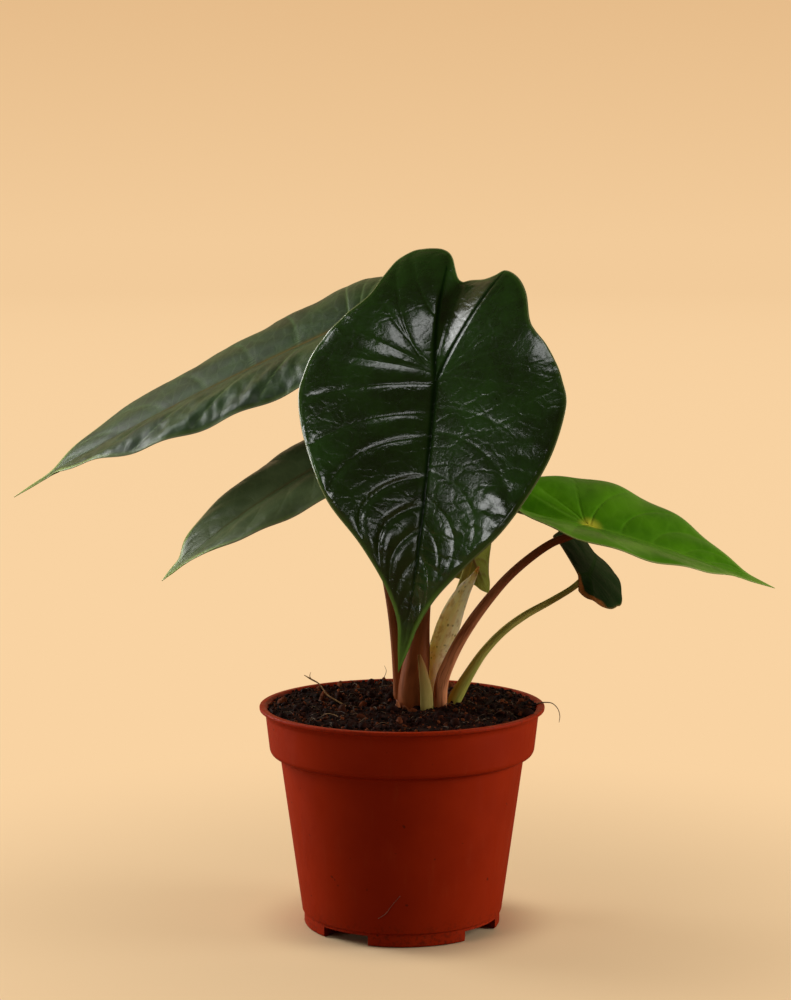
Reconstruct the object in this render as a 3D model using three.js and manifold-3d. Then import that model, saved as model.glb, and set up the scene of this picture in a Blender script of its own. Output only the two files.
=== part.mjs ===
// Young aroid with long arrow-shaped leaves, growing in a thin moulded nursery pot.
// Millimetres, +Z up. The origin is on the pot's axis, in the plane that the pot stands on,
// and the plant's front faces -Y.
import * as THREE from 'three';
import { mergeVertices } from 'three/addons/utils/BufferGeometryUtils.js';
import Module from 'manifold-3d';

const wasm = await Module();
wasm.setup();

// Driving dimensions of the pot: a round pot of the 12 cm size.
const RIM_RADIUS = 60;
const POT_HEIGHT = 93;
const LIP_HEIGHT = 2.6;
const LIP_OVERHANG = 2.6;
const BAND_TOP_RADIUS = RIM_RADIUS - LIP_OVERHANG;
const BAND_BOTTOM_RADIUS = 55.7;
const BAND_BOTTOM = 75.4;
const BODY_TOP_RADIUS = 51.3;
const BODY_TOP = 69.2;
const BODY_BOTTOM_RADIUS = 42.2;
const FOOT_RADIUS = 41;
const FOOT_HEIGHT = 5.4;
const POT_WALL = 1.1;
const POT_FLOOR = 1.4;
const POT_SIDES = 44;

// Four drainage channels cross the foot, each with a hole in its roof.
const CHANNELS = 4;
const FIRST_CHANNEL_ANGLE = -125.6;
const CHANNEL_WIDTH = 22.4;
const CHANNEL_HEIGHT = 4.3;
const CHANNEL_START = 18;
const DRAIN_RADIUS = 3.5;
const DRAIN_CIRCLE = 29;

// Soil and crown.
const GAP = 0.3;
const SOIL_EDGE = 89.4;
const SOIL_MOUND = 2.8;
const SOIL_RELIEF = 0.45;
const CROWN_CENTRE = [10.5, 3];
const CROWN_RADIUS = 15.5;
const CROWN_FLATTENING = 0.96;
const CROWN_TOP = 92.6;
const CROWN_BOTTOM = 60;
const CROWN_SIDES = 28;
const ROOTS = 5;
const ROOT_SIDES = 5;
const ROOT_REACH = 24;
const ROOT_RADIUS = 1.5;

// Stalks enter the crown down to this height, and end just under their blades.
const STALK_FOOT = 84;
const STALK_SIDES = 9;
const STALK_END_GAP = 0.4;
const STALK_OVERRUN = 3;
const JUNCTION_CUT_RADII = [2, 5, 8, 11];
const JUNCTION_CUT_DEPTH = 6;
const JUNCTION_CUT_SIDES = 32;
const LEAF_THICKNESS = 0.8;

// Half of a flat leaf, from the notch between its back lobes round to the drip tip:
// [share of half width, share of lobe length when negative or of blade length when positive].
const HALF_OUTLINE = [
  [0, -0.7], [0.13, -0.865], [0.24, -0.96], [0.37, -0.9], [0.54, -0.745], [0.73, -0.38],
  [0.98, -0.05], [1.02, 0.07], [0.965, 0.2], [0.835, 0.33], [0.665, 0.455], [0.41, 0.58],
  [0.205, 0.7], [0.085, 0.81], [0.04, 0.91], [0, 1],
];

// What the leaves share. Angles are in degrees. Heading is the compass direction of the tip
// from +X, dip is how far it points down, and roll turns the blade about its midrib.
// Droop, swing and twist bend the midrib, fold is the V across it, and curl turns the margins down.
const SPECIES = {
  skew: 0, lobeSkew: 0, lobeWide: 1.18, taper: 1, belly: 1, twist: 0, lobeDroop: 15,
  foldLobe: 0, gutter: 40, costa: 22, rib: 2.2, wave: 0.5, waves: 5, sides: 20, rings: 6,
};

const LEAVES = {
  front: {
    attach: [13.8, -12, 229.7], heading: -117.7, dip: 78.5, roll: -1.2,
    length: 124, lobe: 62, halfWidth: 61, skew: 0.01, lobeSkew: 0.12, lobeWide: 1.01,
    droop: 20.9, lobeDroop: 35.3, swing: 17.7, fold: 10, foldTip: 20, foldLobe: 5, curl: 16,
    gutter: 42, costa: 15.9, rib: 2.5, sides: 26, rings: 8, colour: 0x24361a,
    stalk: {
      route: [[4.6, -2.4], [4.7, -2.4, 98], [6.2, -1.4, 113], [8.3, 1.5, 131], [12, 6, 160],
        [17, 8.5, 190], [20.5, 5.5, 212], [19.5, -2, 225]],
      radii: [6.2, 6.4, 5.4, 3.5, 2.7, 2.4, 2.2, 2.1, 2.3], colour: 0x5a3418,
    },
  },
  long: {
    attach: [-21.1, 53, 252], heading: 163.2, dip: 23.3, roll: 26.1,
    length: 183.3, lobe: 42.3, halfWidth: 47.5, skew: 0.05, taper: 0.6, belly: 0.61,
    droop: 6.9, lobeDroop: 15.6, swing: -3.8, twist: -7.4, fold: 20.5, foldTip: 15.9, curl: 59.5,
    rib: 2.5, wave: 0.9, waves: 7, sides: 24, rings: 7, colour: 0x3a4a34,
    stalk: {
      route: [[4.3, 12], [4.3, 12, 98], [3.8, 11.6, 125], [3.4, 11.4, 155], [4, 15, 185],
        [3.4, 26, 210], [-2.5, 39, 231], [-12, 48, 245]],
      radii: [2.6, 2.6, 2.4, 2.2, 2.1, 2, 2, 2, 2.2], colour: 0x5a4022,
    },
  },
  left: {
    attach: [-29.2, 33, 194.7], heading: 193, dip: 28.3, roll: 20.9,
    length: 91.2, lobe: 32, halfWidth: 27.4, skew: 0.02, taper: 0.55, belly: 0.66,
    droop: 13.5, swing: -5.8, twist: -8.6, fold: 16.6, foldTip: 17.3, curl: 44.3,
    colour: 0x34452c,
    stalk: {
      route: [[-1.2, 8], [-1, 8, 97.5], [-1.5, 8.5, 105], [-2.5, 10, 117.3], [-4.2, 12.5, 131],
        [-7.2, 16, 147], [-13.5, 22, 166], [-22.5, 28.5, 183.5]],
      radii: [2.7, 2.7, 2.5, 2.3, 2.1, 2, 1.9, 1.8, 2], colour: 0x5f3a1e,
    },
  },
  young: {
    attach: [78.6, -2, 168.9], heading: 0.2, dip: 16.2, roll: -18,
    length: 83, lobe: 37.4, halfWidth: 34.2, taper: 0.77, belly: 0.82,
    droop: 9.1, lobeDroop: -13.8, swing: -6.3, twist: 4.4, fold: 22.1, foldTip: 14.7, foldLobe: 20,
    curl: 23.3, rib: 2, wave: 0.7, sides: 22, colour: 0x4c8a14,
    stalk: {
      route: [[16.3, -2.5], [16.1, -2.6, 98], [17.2, -3, 105], [19.2, -3.5, 110.3], [23.7, -4, 119.7],
        [29.4, -4, 129], [36.2, -4, 138.2], [44.2, -3.5, 147.4], [53.3, -3, 155.4],
        [62.5, -2.5, 161.6], [70, -2.2, 164.6]],
      radii: [2.9, 2.9, 2.8, 2.6, 2.4, 2.3, 2.1, 1.9, 1.8, 1.7, 1.7, 1.8], colour: 0x4a2216,
    },
  },
  right: {
    attach: [79.9, 20, 145.4], heading: 76, dip: -12, roll: -50,
    length: 62, lobe: 24, halfWidth: 21, lobeSkew: -0.06, droop: 35, lobeDroop: 0, swing: 0,
    fold: 6, foldTip: 14, curl: 30, gutter: 30, rib: 2, wave: 0.3, sides: 18, colour: 0x2c3c20,
    stalk: {
      route: [[21.6, 3.3], [21.9, 3.4, 93], [23.9, 3.7, 97.3], [28.6, 5, 105.3], [34.5, 7.5, 113.7],
        [42.6, 10, 122], [52.1, 13, 128.6], [63.9, 16, 134.7], [72.6, 18.4, 139.6]],
      radii: [2.9, 2.9, 2.8, 2.3, 1.9, 1.7, 1.6, 1.4, 1.3, 1.5], colour: 0x5c6020,
    },
  },
  back: {
    attach: [23.4, 34, 166.6], heading: 72, dip: 38, roll: 48,
    length: 60, lobe: 22, halfWidth: 26, droop: 6, swing: 0, fold: 26, foldTip: 24, foldLobe: 10,
    curl: 12, gutter: 38, rib: 2, wave: 0.3, sides: 18, colour: 0x66701e,
    stalk: {
      route: [[10.5, 13.5], [10.8, 13.6, 98], [14, 14.8, 112], [20, 17.5, 128], [26.5, 22, 143],
        [29, 27, 155]],
      radii: [2.2, 2.2, 2, 1.8, 1.7, 1.6, 1.8], colour: 0x6d6a2a,
    },
  },
};

// The rolled new leaf, and the pale sheath at its foot.
const SHOOT = {
  route: [[12.8, 6.5, STALK_FOOT], [12.8, 6.5, 98], [13.8, 6.6, 110.4], [16.6, 6.6, 116.8],
    [19.4, 6.4, 124.7], [22.3, 5.9, 132.6], [26.4, 5.2, 141], [29.8, 4.6, 146], [32.3, 4, 150.9]],
  radii: [3.6, 3.7, 4.3, 4.7, 4.9, 4.2, 3.2, 2, 0.4], colour: 0x8a7a44,
};
const SHEATH = {
  route: [[10.4, -9.4, 88], [10.4, -9.6, 94], [10, -9.6, 101], [9.2, -9.5, 106], [8.2, -8.9, 111],
    [7.1, -8.1, 115.5]],
  halfWidths: [2.4, 2.6, 2.6, 2.3, 1.6, 0.5], thickness: 1.3, colour: 0x87884a,
};

const POT_COLOUR = 0xa84a22;
const SOIL_COLOUR = 0x35211a;
const CROWN_COLOUR = 0x6e4526;

const UP = new THREE.Vector3(0, 0, 1);
const { degToRad, clamp, smoothstep } = THREE.MathUtils;

// Solids and meshes.

function closedMesh(positions, triangles) {
  const geometry = new THREE.BufferGeometry();
  geometry.setAttribute('position', new THREE.Float32BufferAttribute(positions, 3));
  geometry.setIndex(triangles);
  return geometry;
}

function toSolid(geometry) {
  const bare = geometry.clone();
  bare.deleteAttribute('normal');
  bare.deleteAttribute('uv');
  const merged = mergeVertices(bare, 1e-4);
  const position = merged.attributes.position.array;
  const index = merged.index.array;
  const triangles = [];
  const corner = [new THREE.Vector3(), new THREE.Vector3(), new THREE.Vector3()];
  let volume = 0;
  for (let i = 0; i < index.length; i += 3) {
    const [a, b, c] = [index[i], index[i + 1], index[i + 2]];
    if (a === b || b === c || c === a) continue;
    triangles.push([a, b, c]);
    [a, b, c].forEach((v, k) => corner[k].fromArray(position, 3 * v));
    volume += corner[0].dot(corner[1].cross(corner[2]));
  }
  const outward = volume > 0 ? triangles : triangles.map(([a, b, c]) => [a, c, b]);
  return new wasm.Manifold(new wasm.Mesh({
    numProp: 3,
    vertProperties: new Float32Array(position),
    triVerts: new Uint32Array(outward.flat()),
  }));
}

function toMesh(name, solid, colour, roughness) {
  const { vertProperties, triVerts } = solid.getMesh();
  const geometry = closedMesh(Array.from(vertProperties), Array.from(triVerts));
  geometry.computeVertexNormals();
  const material = new THREE.MeshStandardMaterial({ color: colour, roughness, metalness: 0 });
  const mesh = new THREE.Mesh(geometry, material);
  mesh.name = name;
  return mesh;
}

// Revolves [radius, height] pairs about Z.
function lathe(profile, sides) {
  const points = profile.map(([radius, height]) => new THREE.Vector2(radius, height));
  return new THREE.LatheGeometry(points, sides).rotateX(Math.PI / 2);
}

// A closed body over rings of points, each end closed by a fan to its centre.
function loft(rings) {
  const sides = rings[0].length;
  const positions = rings.flat().flatMap((point) => point.toArray());
  const triangles = [];
  for (let ring = 0; ring < rings.length - 1; ring += 1) {
    for (let side = 0; side < sides; side += 1) {
      const next = (side + 1) % sides;
      const [a, b] = [ring * sides + side, ring * sides + next];
      triangles.push(a, b, b + sides, a, b + sides, a + sides);
    }
  }
  [0, rings.length - 1].forEach((ring) => {
    const centre = new THREE.Vector3();
    rings[ring].forEach((point) => centre.addScaledVector(point, 1 / sides));
    const middle = positions.length / 3;
    positions.push(...centre.toArray());
    for (let side = 0; side < sides; side += 1) {
      const [a, b] = [ring * sides + side, ring * sides + ((side + 1) % sides)];
      triangles.push(...(ring === 0 ? [middle, b, a] : [middle, a, b]));
    }
  });
  return closedMesh(positions, triangles);
}

// Rings across a smooth route. shape(share, angle) gives a ring's [across, deep] offsets.
function sweep(route, steps, sides, across, shape) {
  const curve = new THREE.CatmullRomCurve3(route.map((point) => new THREE.Vector3(...point)));
  const rings = [];
  const side = across.clone();
  for (let step = 0; step <= steps; step += 1) {
    const share = step / steps;
    const tangent = curve.getTangent(share);
    side.addScaledVector(tangent, -side.dot(tangent)).normalize();
    const deep = tangent.clone().cross(side);
    const centre = curve.getPoint(share);
    rings.push(Array.from({ length: sides }, (_, k) => {
      const [u, v] = shape(share, (2 * Math.PI * k) / sides);
      return centre.clone().addScaledVector(side, u).addScaledVector(deep, v);
    }));
  }
  return loft(rings);
}

function listValue(list, share) {
  const place = clamp(share, 0, 1) * (list.length - 1);
  const low = Math.min(Math.floor(place), list.length - 2);
  return THREE.MathUtils.lerp(list[low], list[low + 1], place - low);
}

function taperedTube(route, radii, grow = 0, sides = STALK_SIDES) {
  const steps = 2 * (route.length - 1);
  const shape = (share, angle) => {
    const radius = listValue(radii, share) + grow;
    return [radius * Math.cos(angle), radius * Math.sin(angle)];
  };
  return toSolid(sweep(route, steps, sides, new THREE.Vector3(1, 0, 0), shape));
}

// Pot.

const POT_OUTSIDE = [
  [0, 0], [FOOT_RADIUS - 1.2, 0], [FOOT_RADIUS, 0.9], [FOOT_RADIUS, FOOT_HEIGHT],
  [BODY_BOTTOM_RADIUS, FOOT_HEIGHT + 0.4], [BODY_TOP_RADIUS, BODY_TOP],
  [BODY_TOP_RADIUS + 1.8, BODY_TOP + 1.2], [BAND_BOTTOM_RADIUS - 0.7, BAND_BOTTOM - 2.4],
  [BAND_BOTTOM_RADIUS, BAND_BOTTOM], [BAND_TOP_RADIUS, POT_HEIGHT - LIP_HEIGHT - 0.6],
  [RIM_RADIUS - 0.5, POT_HEIGHT - LIP_HEIGHT], [RIM_RADIUS, POT_HEIGHT - LIP_HEIGHT + 0.6],
  [RIM_RADIUS, POT_HEIGHT - 0.6], [RIM_RADIUS - 0.6, POT_HEIGHT],
];
const POT_INSIDE = [
  [BAND_TOP_RADIUS - 0.2, POT_HEIGHT], [BAND_TOP_RADIUS - POT_WALL, POT_HEIGHT - 0.8],
  [BAND_TOP_RADIUS - POT_WALL, SOIL_EDGE + 0.4], [BAND_BOTTOM_RADIUS - POT_WALL, BAND_BOTTOM + 0.3],
  [BAND_BOTTOM_RADIUS - 1.8, BAND_BOTTOM - 2], [BODY_TOP_RADIUS + 0.9, BODY_TOP + 2],
  [BODY_TOP_RADIUS - POT_WALL, BODY_TOP + 0.4], [BODY_BOTTOM_RADIUS - POT_WALL, FOOT_HEIGHT + 0.9],
  [FOOT_RADIUS - POT_WALL, FOOT_HEIGHT - 0.2], [FOOT_RADIUS - POT_WALL, POT_FLOOR], [0, POT_FLOOR],
];

function channelBoxes(width, height, start, end, bottom) {
  const boxes = [];
  for (let k = 0; k < CHANNELS; k += 1) {
    const box = new THREE.BoxGeometry(end - start, width, height - bottom);
    box.translate((start + end) / 2, 0, (height + bottom) / 2);
    box.rotateZ(degToRad(FIRST_CHANNEL_ANGLE + (k * 360) / CHANNELS));
    boxes.push(toSolid(box));
  }
  return boxes;
}

function drainHoles() {
  const holes = [];
  for (let k = 0; k < CHANNELS; k += 1) {
    const hole = new THREE.CylinderGeometry(DRAIN_RADIUS, DRAIN_RADIUS, 12, 16);
    hole.rotateX(Math.PI / 2).translate(DRAIN_CIRCLE, 0, 4);
    hole.rotateZ(degToRad(FIRST_CHANNEL_ANGLE + (k * 360) / CHANNELS));
    holes.push(toSolid(hole));
  }
  return holes;
}

// The roofs over the channels, which stand up inside the pot. grow widens them for the soil's cut.
function channelRoofs(grow) {
  const width = CHANNEL_WIDTH + 2 * (POT_WALL + grow);
  const top = CHANNEL_HEIGHT + POT_WALL + grow;
  const start = CHANNEL_START - POT_WALL - grow;
  const inFoot = toSolid(lathe([[0, 0], [FOOT_RADIUS - 0.5, 0], [FOOT_RADIUS - 0.5, 9], [0, 9]], POT_SIDES));
  return channelBoxes(width, top, start, RIM_RADIUS, 0.4).map((box) => box.intersect(inFoot));
}

function buildPot() {
  let pot = toSolid(lathe([...POT_OUTSIDE, ...POT_INSIDE], POT_SIDES));
  channelRoofs(0).forEach((roof) => { pot = pot.add(roof); });
  channelBoxes(CHANNEL_WIDTH, CHANNEL_HEIGHT, CHANNEL_START, RIM_RADIUS, -2)
    .forEach((box) => { pot = pot.subtract(box); });
  drainHoles().forEach((hole) => { pot = pot.subtract(hole); });
  return pot;
}

// Crown with its stout roots. grow widens it for the hole that it stands in.

function buildCrown(grow) {
  const radius = CROWN_RADIUS + grow;
  const top = grow > 0 ? POT_HEIGHT + 10 : CROWN_TOP;
  const bottom = CROWN_BOTTOM - grow;
  const shoulder = grow > 0 ? radius : radius - 1.6;
  const profile = [
    [0, bottom], [radius * 0.45, bottom + 0.8], [radius * 0.75, bottom + 3.5],
    [radius * 0.94, bottom + 9], [radius, bottom + 17], [radius, CROWN_TOP - 3], [shoulder, top - 0.8],
    [shoulder * 0.7, top - 0.1], [0, top],
  ];
  const plug = lathe(profile, CROWN_SIDES);
  plug.scale(1, CROWN_FLATTENING, 1).translate(...CROWN_CENTRE, 0);
  let crown = toSolid(plug);
  for (let k = 0; k < ROOTS; k += 1) {
    const angle = (2 * Math.PI * k) / ROOTS + 0.3;
    const fall = 22 + 7 * Math.sin(2.4 * k);
    const along = (reach, height) => [
      CROWN_CENTRE[0] + reach * Math.cos(angle + 0.012 * reach),
      CROWN_CENTRE[1] + reach * Math.sin(angle + 0.012 * reach), height,
    ];
    const route = [along(7, 70), along(13, 66), along(19, 59), along(ROOT_REACH, 66 - fall),
      along(ROOT_REACH + 1, 56 - fall)];
    const radii = [ROOT_RADIUS, ROOT_RADIUS, 1.2, 1, 0.6];
    if (grow > 0) {
      route.push(along(ROOT_REACH + 1, 55 - fall));
      radii.push(0.6);
    }
    crown = crown.add(taperedTube(route, radii, grow, ROOT_SIDES));
  }
  return crown;
}

// Soil: fills the pot up to a low mound, and has a plain hole for the crown and its roots.

function buildSoil() {
  const wall = POT_INSIDE.slice(2, -1).map(([radius, height]) => [radius - GAP, height + GAP]).reverse();
  const edge = BAND_TOP_RADIUS - POT_WALL - GAP;
  wall.pop();
  const top = [1, 0.86, 0.68, 0.48, 0.25, 0].map((share) => [
    edge * share, SOIL_EDGE + SOIL_MOUND * (1 - share ** 1.6),
  ]);
  const heap = lathe([[0, POT_FLOOR + GAP], ...wall, ...top], POT_SIDES);
  const position = heap.attributes.position;
  for (let i = 0; i < position.count; i += 1) {
    const [x, y, z] = [position.getX(i), position.getY(i), position.getZ(i)];
    const inner = smoothstep(edge - Math.hypot(x, y), 0, 6);
    const bump = Math.sin(0.31 * x + 1.3) * Math.cos(0.27 * y - 0.4) + 0.6 * Math.sin(0.52 * (x - y));
    if (z > SOIL_EDGE) position.setZ(i, z + SOIL_RELIEF * inner * bump);
  }
  let soil = toSolid(heap).subtract(buildCrown(GAP));
  channelRoofs(GAP).forEach((roof) => { soil = soil.subtract(roof); });
  return soil;
}

// Leaf blades. A point of the flat leaf is (x across, s along the midrib from the stalk's junction).

function halfOutline(leaf, side, count) {
  const points = HALF_OUTLINE.map(([share, along]) => {
    const width = leaf.halfWidth * (1 + side * leaf.skew);
    if (along > 0) {
      const s = along ** leaf.belly;
      return new THREE.Vector3(side * width * (s > 0.11 ? share ** leaf.taper : share), s * leaf.length, 0);
    }
    const wide = along < -0.3 ? leaf.lobeWide : 1;
    const reach = leaf.lobe * (1 + (share > 0 ? side * leaf.lobeSkew : 0));
    return new THREE.Vector3(side * share * width * wide, along * reach, 0);
  });
  const curve = new THREE.CatmullRomCurve3(points, false, 'catmullrom', 0.5);
  return curve.getSpacedPoints(count).map(({ x, y }) => [x, y]);
}

// Directions along, across and out of the blade where its midrib has run s from the junction.
function bladeAxes(leaf, s) {
  const [heading, dip, roll] = [leaf.heading, leaf.dip, leaf.roll].map(degToRad);
  const share = s >= 0 ? s / leaf.length : -s / leaf.lobe;
  const bend = s >= 0 ? degToRad(leaf.droop) * share ** 1.3 : -degToRad(leaf.lobeDroop) * share;
  const swing = s >= 0 ? degToRad(leaf.swing) * share ** 1.5 : 0;
  const twist = (degToRad(leaf.twist) * s) / leaf.length;
  const level = Math.cos(dip);
  const along = new THREE.Vector3(Math.cos(heading) * level, Math.sin(heading) * level, -Math.sin(dip));
  const across = along.clone().cross(UP).normalize();
  const out = across.clone().cross(along);
  const turn = (first, second, angle) => {
    const [a, b] = [first.clone(), second.clone()];
    first.copy(a).multiplyScalar(Math.cos(angle)).addScaledVector(b, Math.sin(angle));
    second.copy(b).multiplyScalar(Math.cos(angle)).addScaledVector(a, -Math.sin(angle));
  };
  turn(across, out, roll);
  turn(along, out, -bend);
  turn(along, across, swing);
  turn(across, out, twist);
  return { along, across, out };
}

function spinePoint(leaf, s) {
  const steps = 40;
  const point = new THREE.Vector3(...leaf.attach);
  for (let k = 0; k < steps; k += 1) {
    point.addScaledVector(bladeAxes(leaf, (s * (k + 0.5)) / steps).along, s / steps);
  }
  return point;
}

// Slope of the blade's cross-section at distance r from the midrib, in radians.
function sectionSlope(leaf, r, s) {
  const forward = smoothstep(s, 0, leaf.length);
  const backward = smoothstep(-s, 0, leaf.lobe);
  const fold = leaf.fold + (leaf.foldTip - leaf.fold) * forward + (leaf.foldLobe - leaf.fold) * backward;
  const slope = fold - leaf.curl * (r / leaf.halfWidth) ** 1.6;
  const costa = Math.tan(degToRad(leaf.costa)) * Math.max(-s, 0);
  const soft = Math.max(costa / 2, 1.5);
  const inGutter = (1 - smoothstep(r, costa - soft / 2, costa + soft / 2)) * clamp(-s / (0.08 * leaf.lobe), 0, 1);
  const rounded = 1 - Math.exp(-r / leaf.rib);
  return degToRad(slope + (leaf.gutter - slope) * inGutter) * rounded;
}

function sectionPoint(leaf, r, s) {
  const steps = 24;
  let [lateral, height] = [0, 0];
  for (let k = 0; k < steps; k += 1) {
    const slope = sectionSlope(leaf, (r * (k + 0.5)) / steps, s);
    lateral += (Math.cos(slope) * r) / steps;
    height += (Math.sin(slope) * r) / steps;
  }
  return [lateral, height];
}

function bladePoint(leaf, x, s, ripple = 0) {
  const axes = bladeAxes(leaf, s);
  const [lateral, height] = sectionPoint(leaf, Math.abs(x), s);
  const costa = Math.tan(degToRad(leaf.costa)) * Math.max(-s, 0);
  const ridge = sectionPoint(leaf, costa, s)[1];
  return spinePoint(leaf, s)
    .addScaledVector(axes.across, Math.sign(x) * lateral)
    .addScaledVector(axes.out, height - ridge + ripple);
}

// A sheet of points on rings round the junction, thickened to a closed body.
function thicken(centre, rings, below, above) {
  const count = rings[0].length;
  const sheet = [centre, ...rings.flat()];
  const faces = [];
  for (let k = 0; k < count; k += 1) {
    const next = (k + 1) % count;
    faces.push([0, 1 + k, 1 + next]);
    for (let ring = 0; ring < rings.length - 1; ring += 1) {
      const [a, b] = [1 + ring * count + k, 1 + ring * count + next];
      faces.push([a, a + count, b + count], [a, b + count, b]);
    }
  }
  const normals = sheet.map(() => new THREE.Vector3());
  faces.forEach(([a, b, c]) => {
    const edge = sheet[b].clone().sub(sheet[a]);
    const normal = edge.cross(sheet[c].clone().sub(sheet[a]));
    [a, b, c].forEach((v) => normals[v].add(normal));
  });
  const offset = (amount) => sheet.flatMap((point, v) => (
    point.clone().addScaledVector(normals[v].normalize(), amount).toArray()));
  const size = sheet.length;
  const triangles = faces.flatMap(([a, b, c]) => [a, b, c, size + a, size + c, size + b]);
  const rim = 1 + (rings.length - 1) * count;
  for (let k = 0; k < count; k += 1) {
    const [a, b] = [rim + k, rim + ((k + 1) % count)];
    triangles.push(a, size + a, size + b, a, size + b, b);
  }
  return toSolid(closedMesh([...offset(above), ...offset(-below)], triangles));
}

function buildBlade(leaf) {
  const right = halfOutline(leaf, 1, leaf.sides);
  const left = halfOutline(leaf, -1, leaf.sides).reverse().slice(1, -1);
  const outline = [...right, ...left];
  const rings = [];
  for (let ring = 1; ring <= leaf.rings; ring += 1) {
    const share = ring / leaf.rings;
    rings.push(outline.map(([x, s], k) => {
      const place = Math.min(k, outline.length - k) / leaf.sides;
      const ripple = leaf.wave * Math.sin(2 * Math.PI * leaf.waves * place) * share ** 2.5;
      return bladePoint(leaf, share * x, share * s, ripple * Math.sin(Math.PI * place));
    }));
  }
  return thicken(bladePoint(leaf, 0, 0), rings, LEAF_THICKNESS / 2, LEAF_THICKNESS / 2);
}

// The stalk runs on through the blade, and is cut off just under it.
function buildStalk(leaf, grow = 0) {
  const { route, radii } = leaf.stalk;
  const points = route.map(([x, y, z]) => [x, y, z ?? STALK_FOOT - grow]);
  const last = new THREE.Vector3(...points[points.length - 1]);
  const junction = new THREE.Vector3(...leaf.attach);
  const beyond = junction.clone().add(junction.clone().sub(last).setLength(STALK_OVERRUN));
  const tube = taperedTube([...points, beyond.toArray()], radii, grow);
  if (grow > 0) return tube;
  const patch = JUNCTION_CUT_RADII.map((radius) => Array.from({ length: JUNCTION_CUT_SIDES }, (_, k) => {
    const angle = (2 * Math.PI * k) / JUNCTION_CUT_SIDES;
    return bladePoint(leaf, radius * Math.sin(angle), -radius * Math.cos(angle));
  }));
  const cutter = thicken(bladePoint(leaf, 0, 0), patch, LEAF_THICKNESS / 2 + STALK_END_GAP, JUNCTION_CUT_DEPTH);
  return tube.subtract(cutter);
}

// Shoot and sheath.

function buildSheath() {
  const shape = (share, angle) => [
    listValue(SHEATH.halfWidths, share) * Math.cos(angle),
    (SHEATH.thickness / 2) * Math.sin(angle) * (share > 0.9 ? 0.6 : 1),
  ];
  return toSolid(sweep(SHEATH.route, 10, 10, new THREE.Vector3(1, 0.25, 0), shape));
}

// Assembly.

const group = new THREE.Group();
group.add(toMesh('pot', buildPot(), POT_COLOUR, 0.45));
group.add(toMesh('soil', buildSoil(), SOIL_COLOUR, 0.95));

let crown = buildCrown(0);
Object.entries(LEAVES).forEach(([name, traits]) => {
  const leaf = { ...SPECIES, ...traits };
  crown = crown.subtract(buildStalk(leaf, GAP));
  group.add(toMesh(`stalk_${name}`, buildStalk(leaf), leaf.stalk.colour, 0.5));
  group.add(toMesh(`leaf_${name}`, buildBlade(leaf), leaf.colour, 0.3));
});

crown = crown.subtract(taperedTube(
  SHOOT.route.map(([x, y, z], k) => [x, y, k === 0 ? z - GAP : z]), SHOOT.radii, GAP));
crown = crown.subtract(toSolid(sweep(
  SHEATH.route.map(([x, y, z], k) => [x, y, k === 0 ? z - GAP : z]), 10, 10,
  new THREE.Vector3(1, 0.25, 0), (share, angle) => [
    (listValue(SHEATH.halfWidths, share) + GAP) * Math.cos(angle),
    (SHEATH.thickness / 2 + GAP) * Math.sin(angle),
  ])));
group.add(toMesh('new_shoot', taperedTube(SHOOT.route, SHOOT.radii), SHOOT.colour, 0.5));
group.add(toMesh('sheath', buildSheath(), SHEATH.colour, 0.55));
group.add(toMesh('crown', crown, CROWN_COLOUR, 0.7));

export default group;
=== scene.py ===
# A young aroid with long arrow-shaped leaves, growing in a thin moulded nursery pot.
# Sizes in the tables are millimetres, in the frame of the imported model: +Z up, the front faces -Y.
import math

import bmesh
import bpy
import numpy as np
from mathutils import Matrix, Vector, kdtree, noise


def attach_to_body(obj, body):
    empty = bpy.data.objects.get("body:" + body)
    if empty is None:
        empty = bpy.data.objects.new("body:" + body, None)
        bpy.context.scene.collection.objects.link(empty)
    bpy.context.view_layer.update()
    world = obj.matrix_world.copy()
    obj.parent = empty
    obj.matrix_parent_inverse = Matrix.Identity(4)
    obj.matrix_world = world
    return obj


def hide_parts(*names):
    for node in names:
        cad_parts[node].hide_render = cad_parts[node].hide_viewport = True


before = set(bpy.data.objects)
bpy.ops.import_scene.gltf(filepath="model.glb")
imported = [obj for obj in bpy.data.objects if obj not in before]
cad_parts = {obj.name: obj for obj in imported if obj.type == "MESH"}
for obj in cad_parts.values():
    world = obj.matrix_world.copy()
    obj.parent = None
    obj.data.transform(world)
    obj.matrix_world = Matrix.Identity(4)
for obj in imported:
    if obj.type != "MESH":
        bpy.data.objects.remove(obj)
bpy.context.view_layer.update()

MM = 0.001
UP = np.array([0.0, 0.0, 1.0])

# The photograph's view: metres, radians and pixels of its 791 by 1000 frame.
CAMERA_DISTANCE = 1.0
CAMERA_HEIGHT = 0.2876
CAMERA_SIDE = -0.00275
CAMERA_PITCH = 0.1078
FOCAL_PIXELS = 2411
PHOTO_HEIGHT = 1000
SENSOR = 36

# Pot.
RIM_RADIUS = 60
POT_HEIGHT = 93
LIP_HEIGHT = 2.6
LIP_OVERHANG = 2.6
BAND_TOP_RADIUS = RIM_RADIUS - LIP_OVERHANG
BAND_BOTTOM_RADIUS = 55.7
BAND_BOTTOM = 75.4
BODY_TOP_RADIUS = 51.3
BODY_TOP = 69.2
BODY_BOTTOM_RADIUS = 42.2
FOOT_RADIUS = 41.4
FOOT_HEIGHT = 5.4
POT_WALL = 1.1
POT_FLOOR = 1.4
CHANNELS = 4
FIRST_CHANNEL_ANGLE = -125.6
CHANNEL_WIDTH = 22.4
CHANNEL_HEIGHT = 4.3
CHANNEL_START = 18
DRAIN_RADIUS = 3.5
DRAIN_CIRCLE = 29

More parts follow.
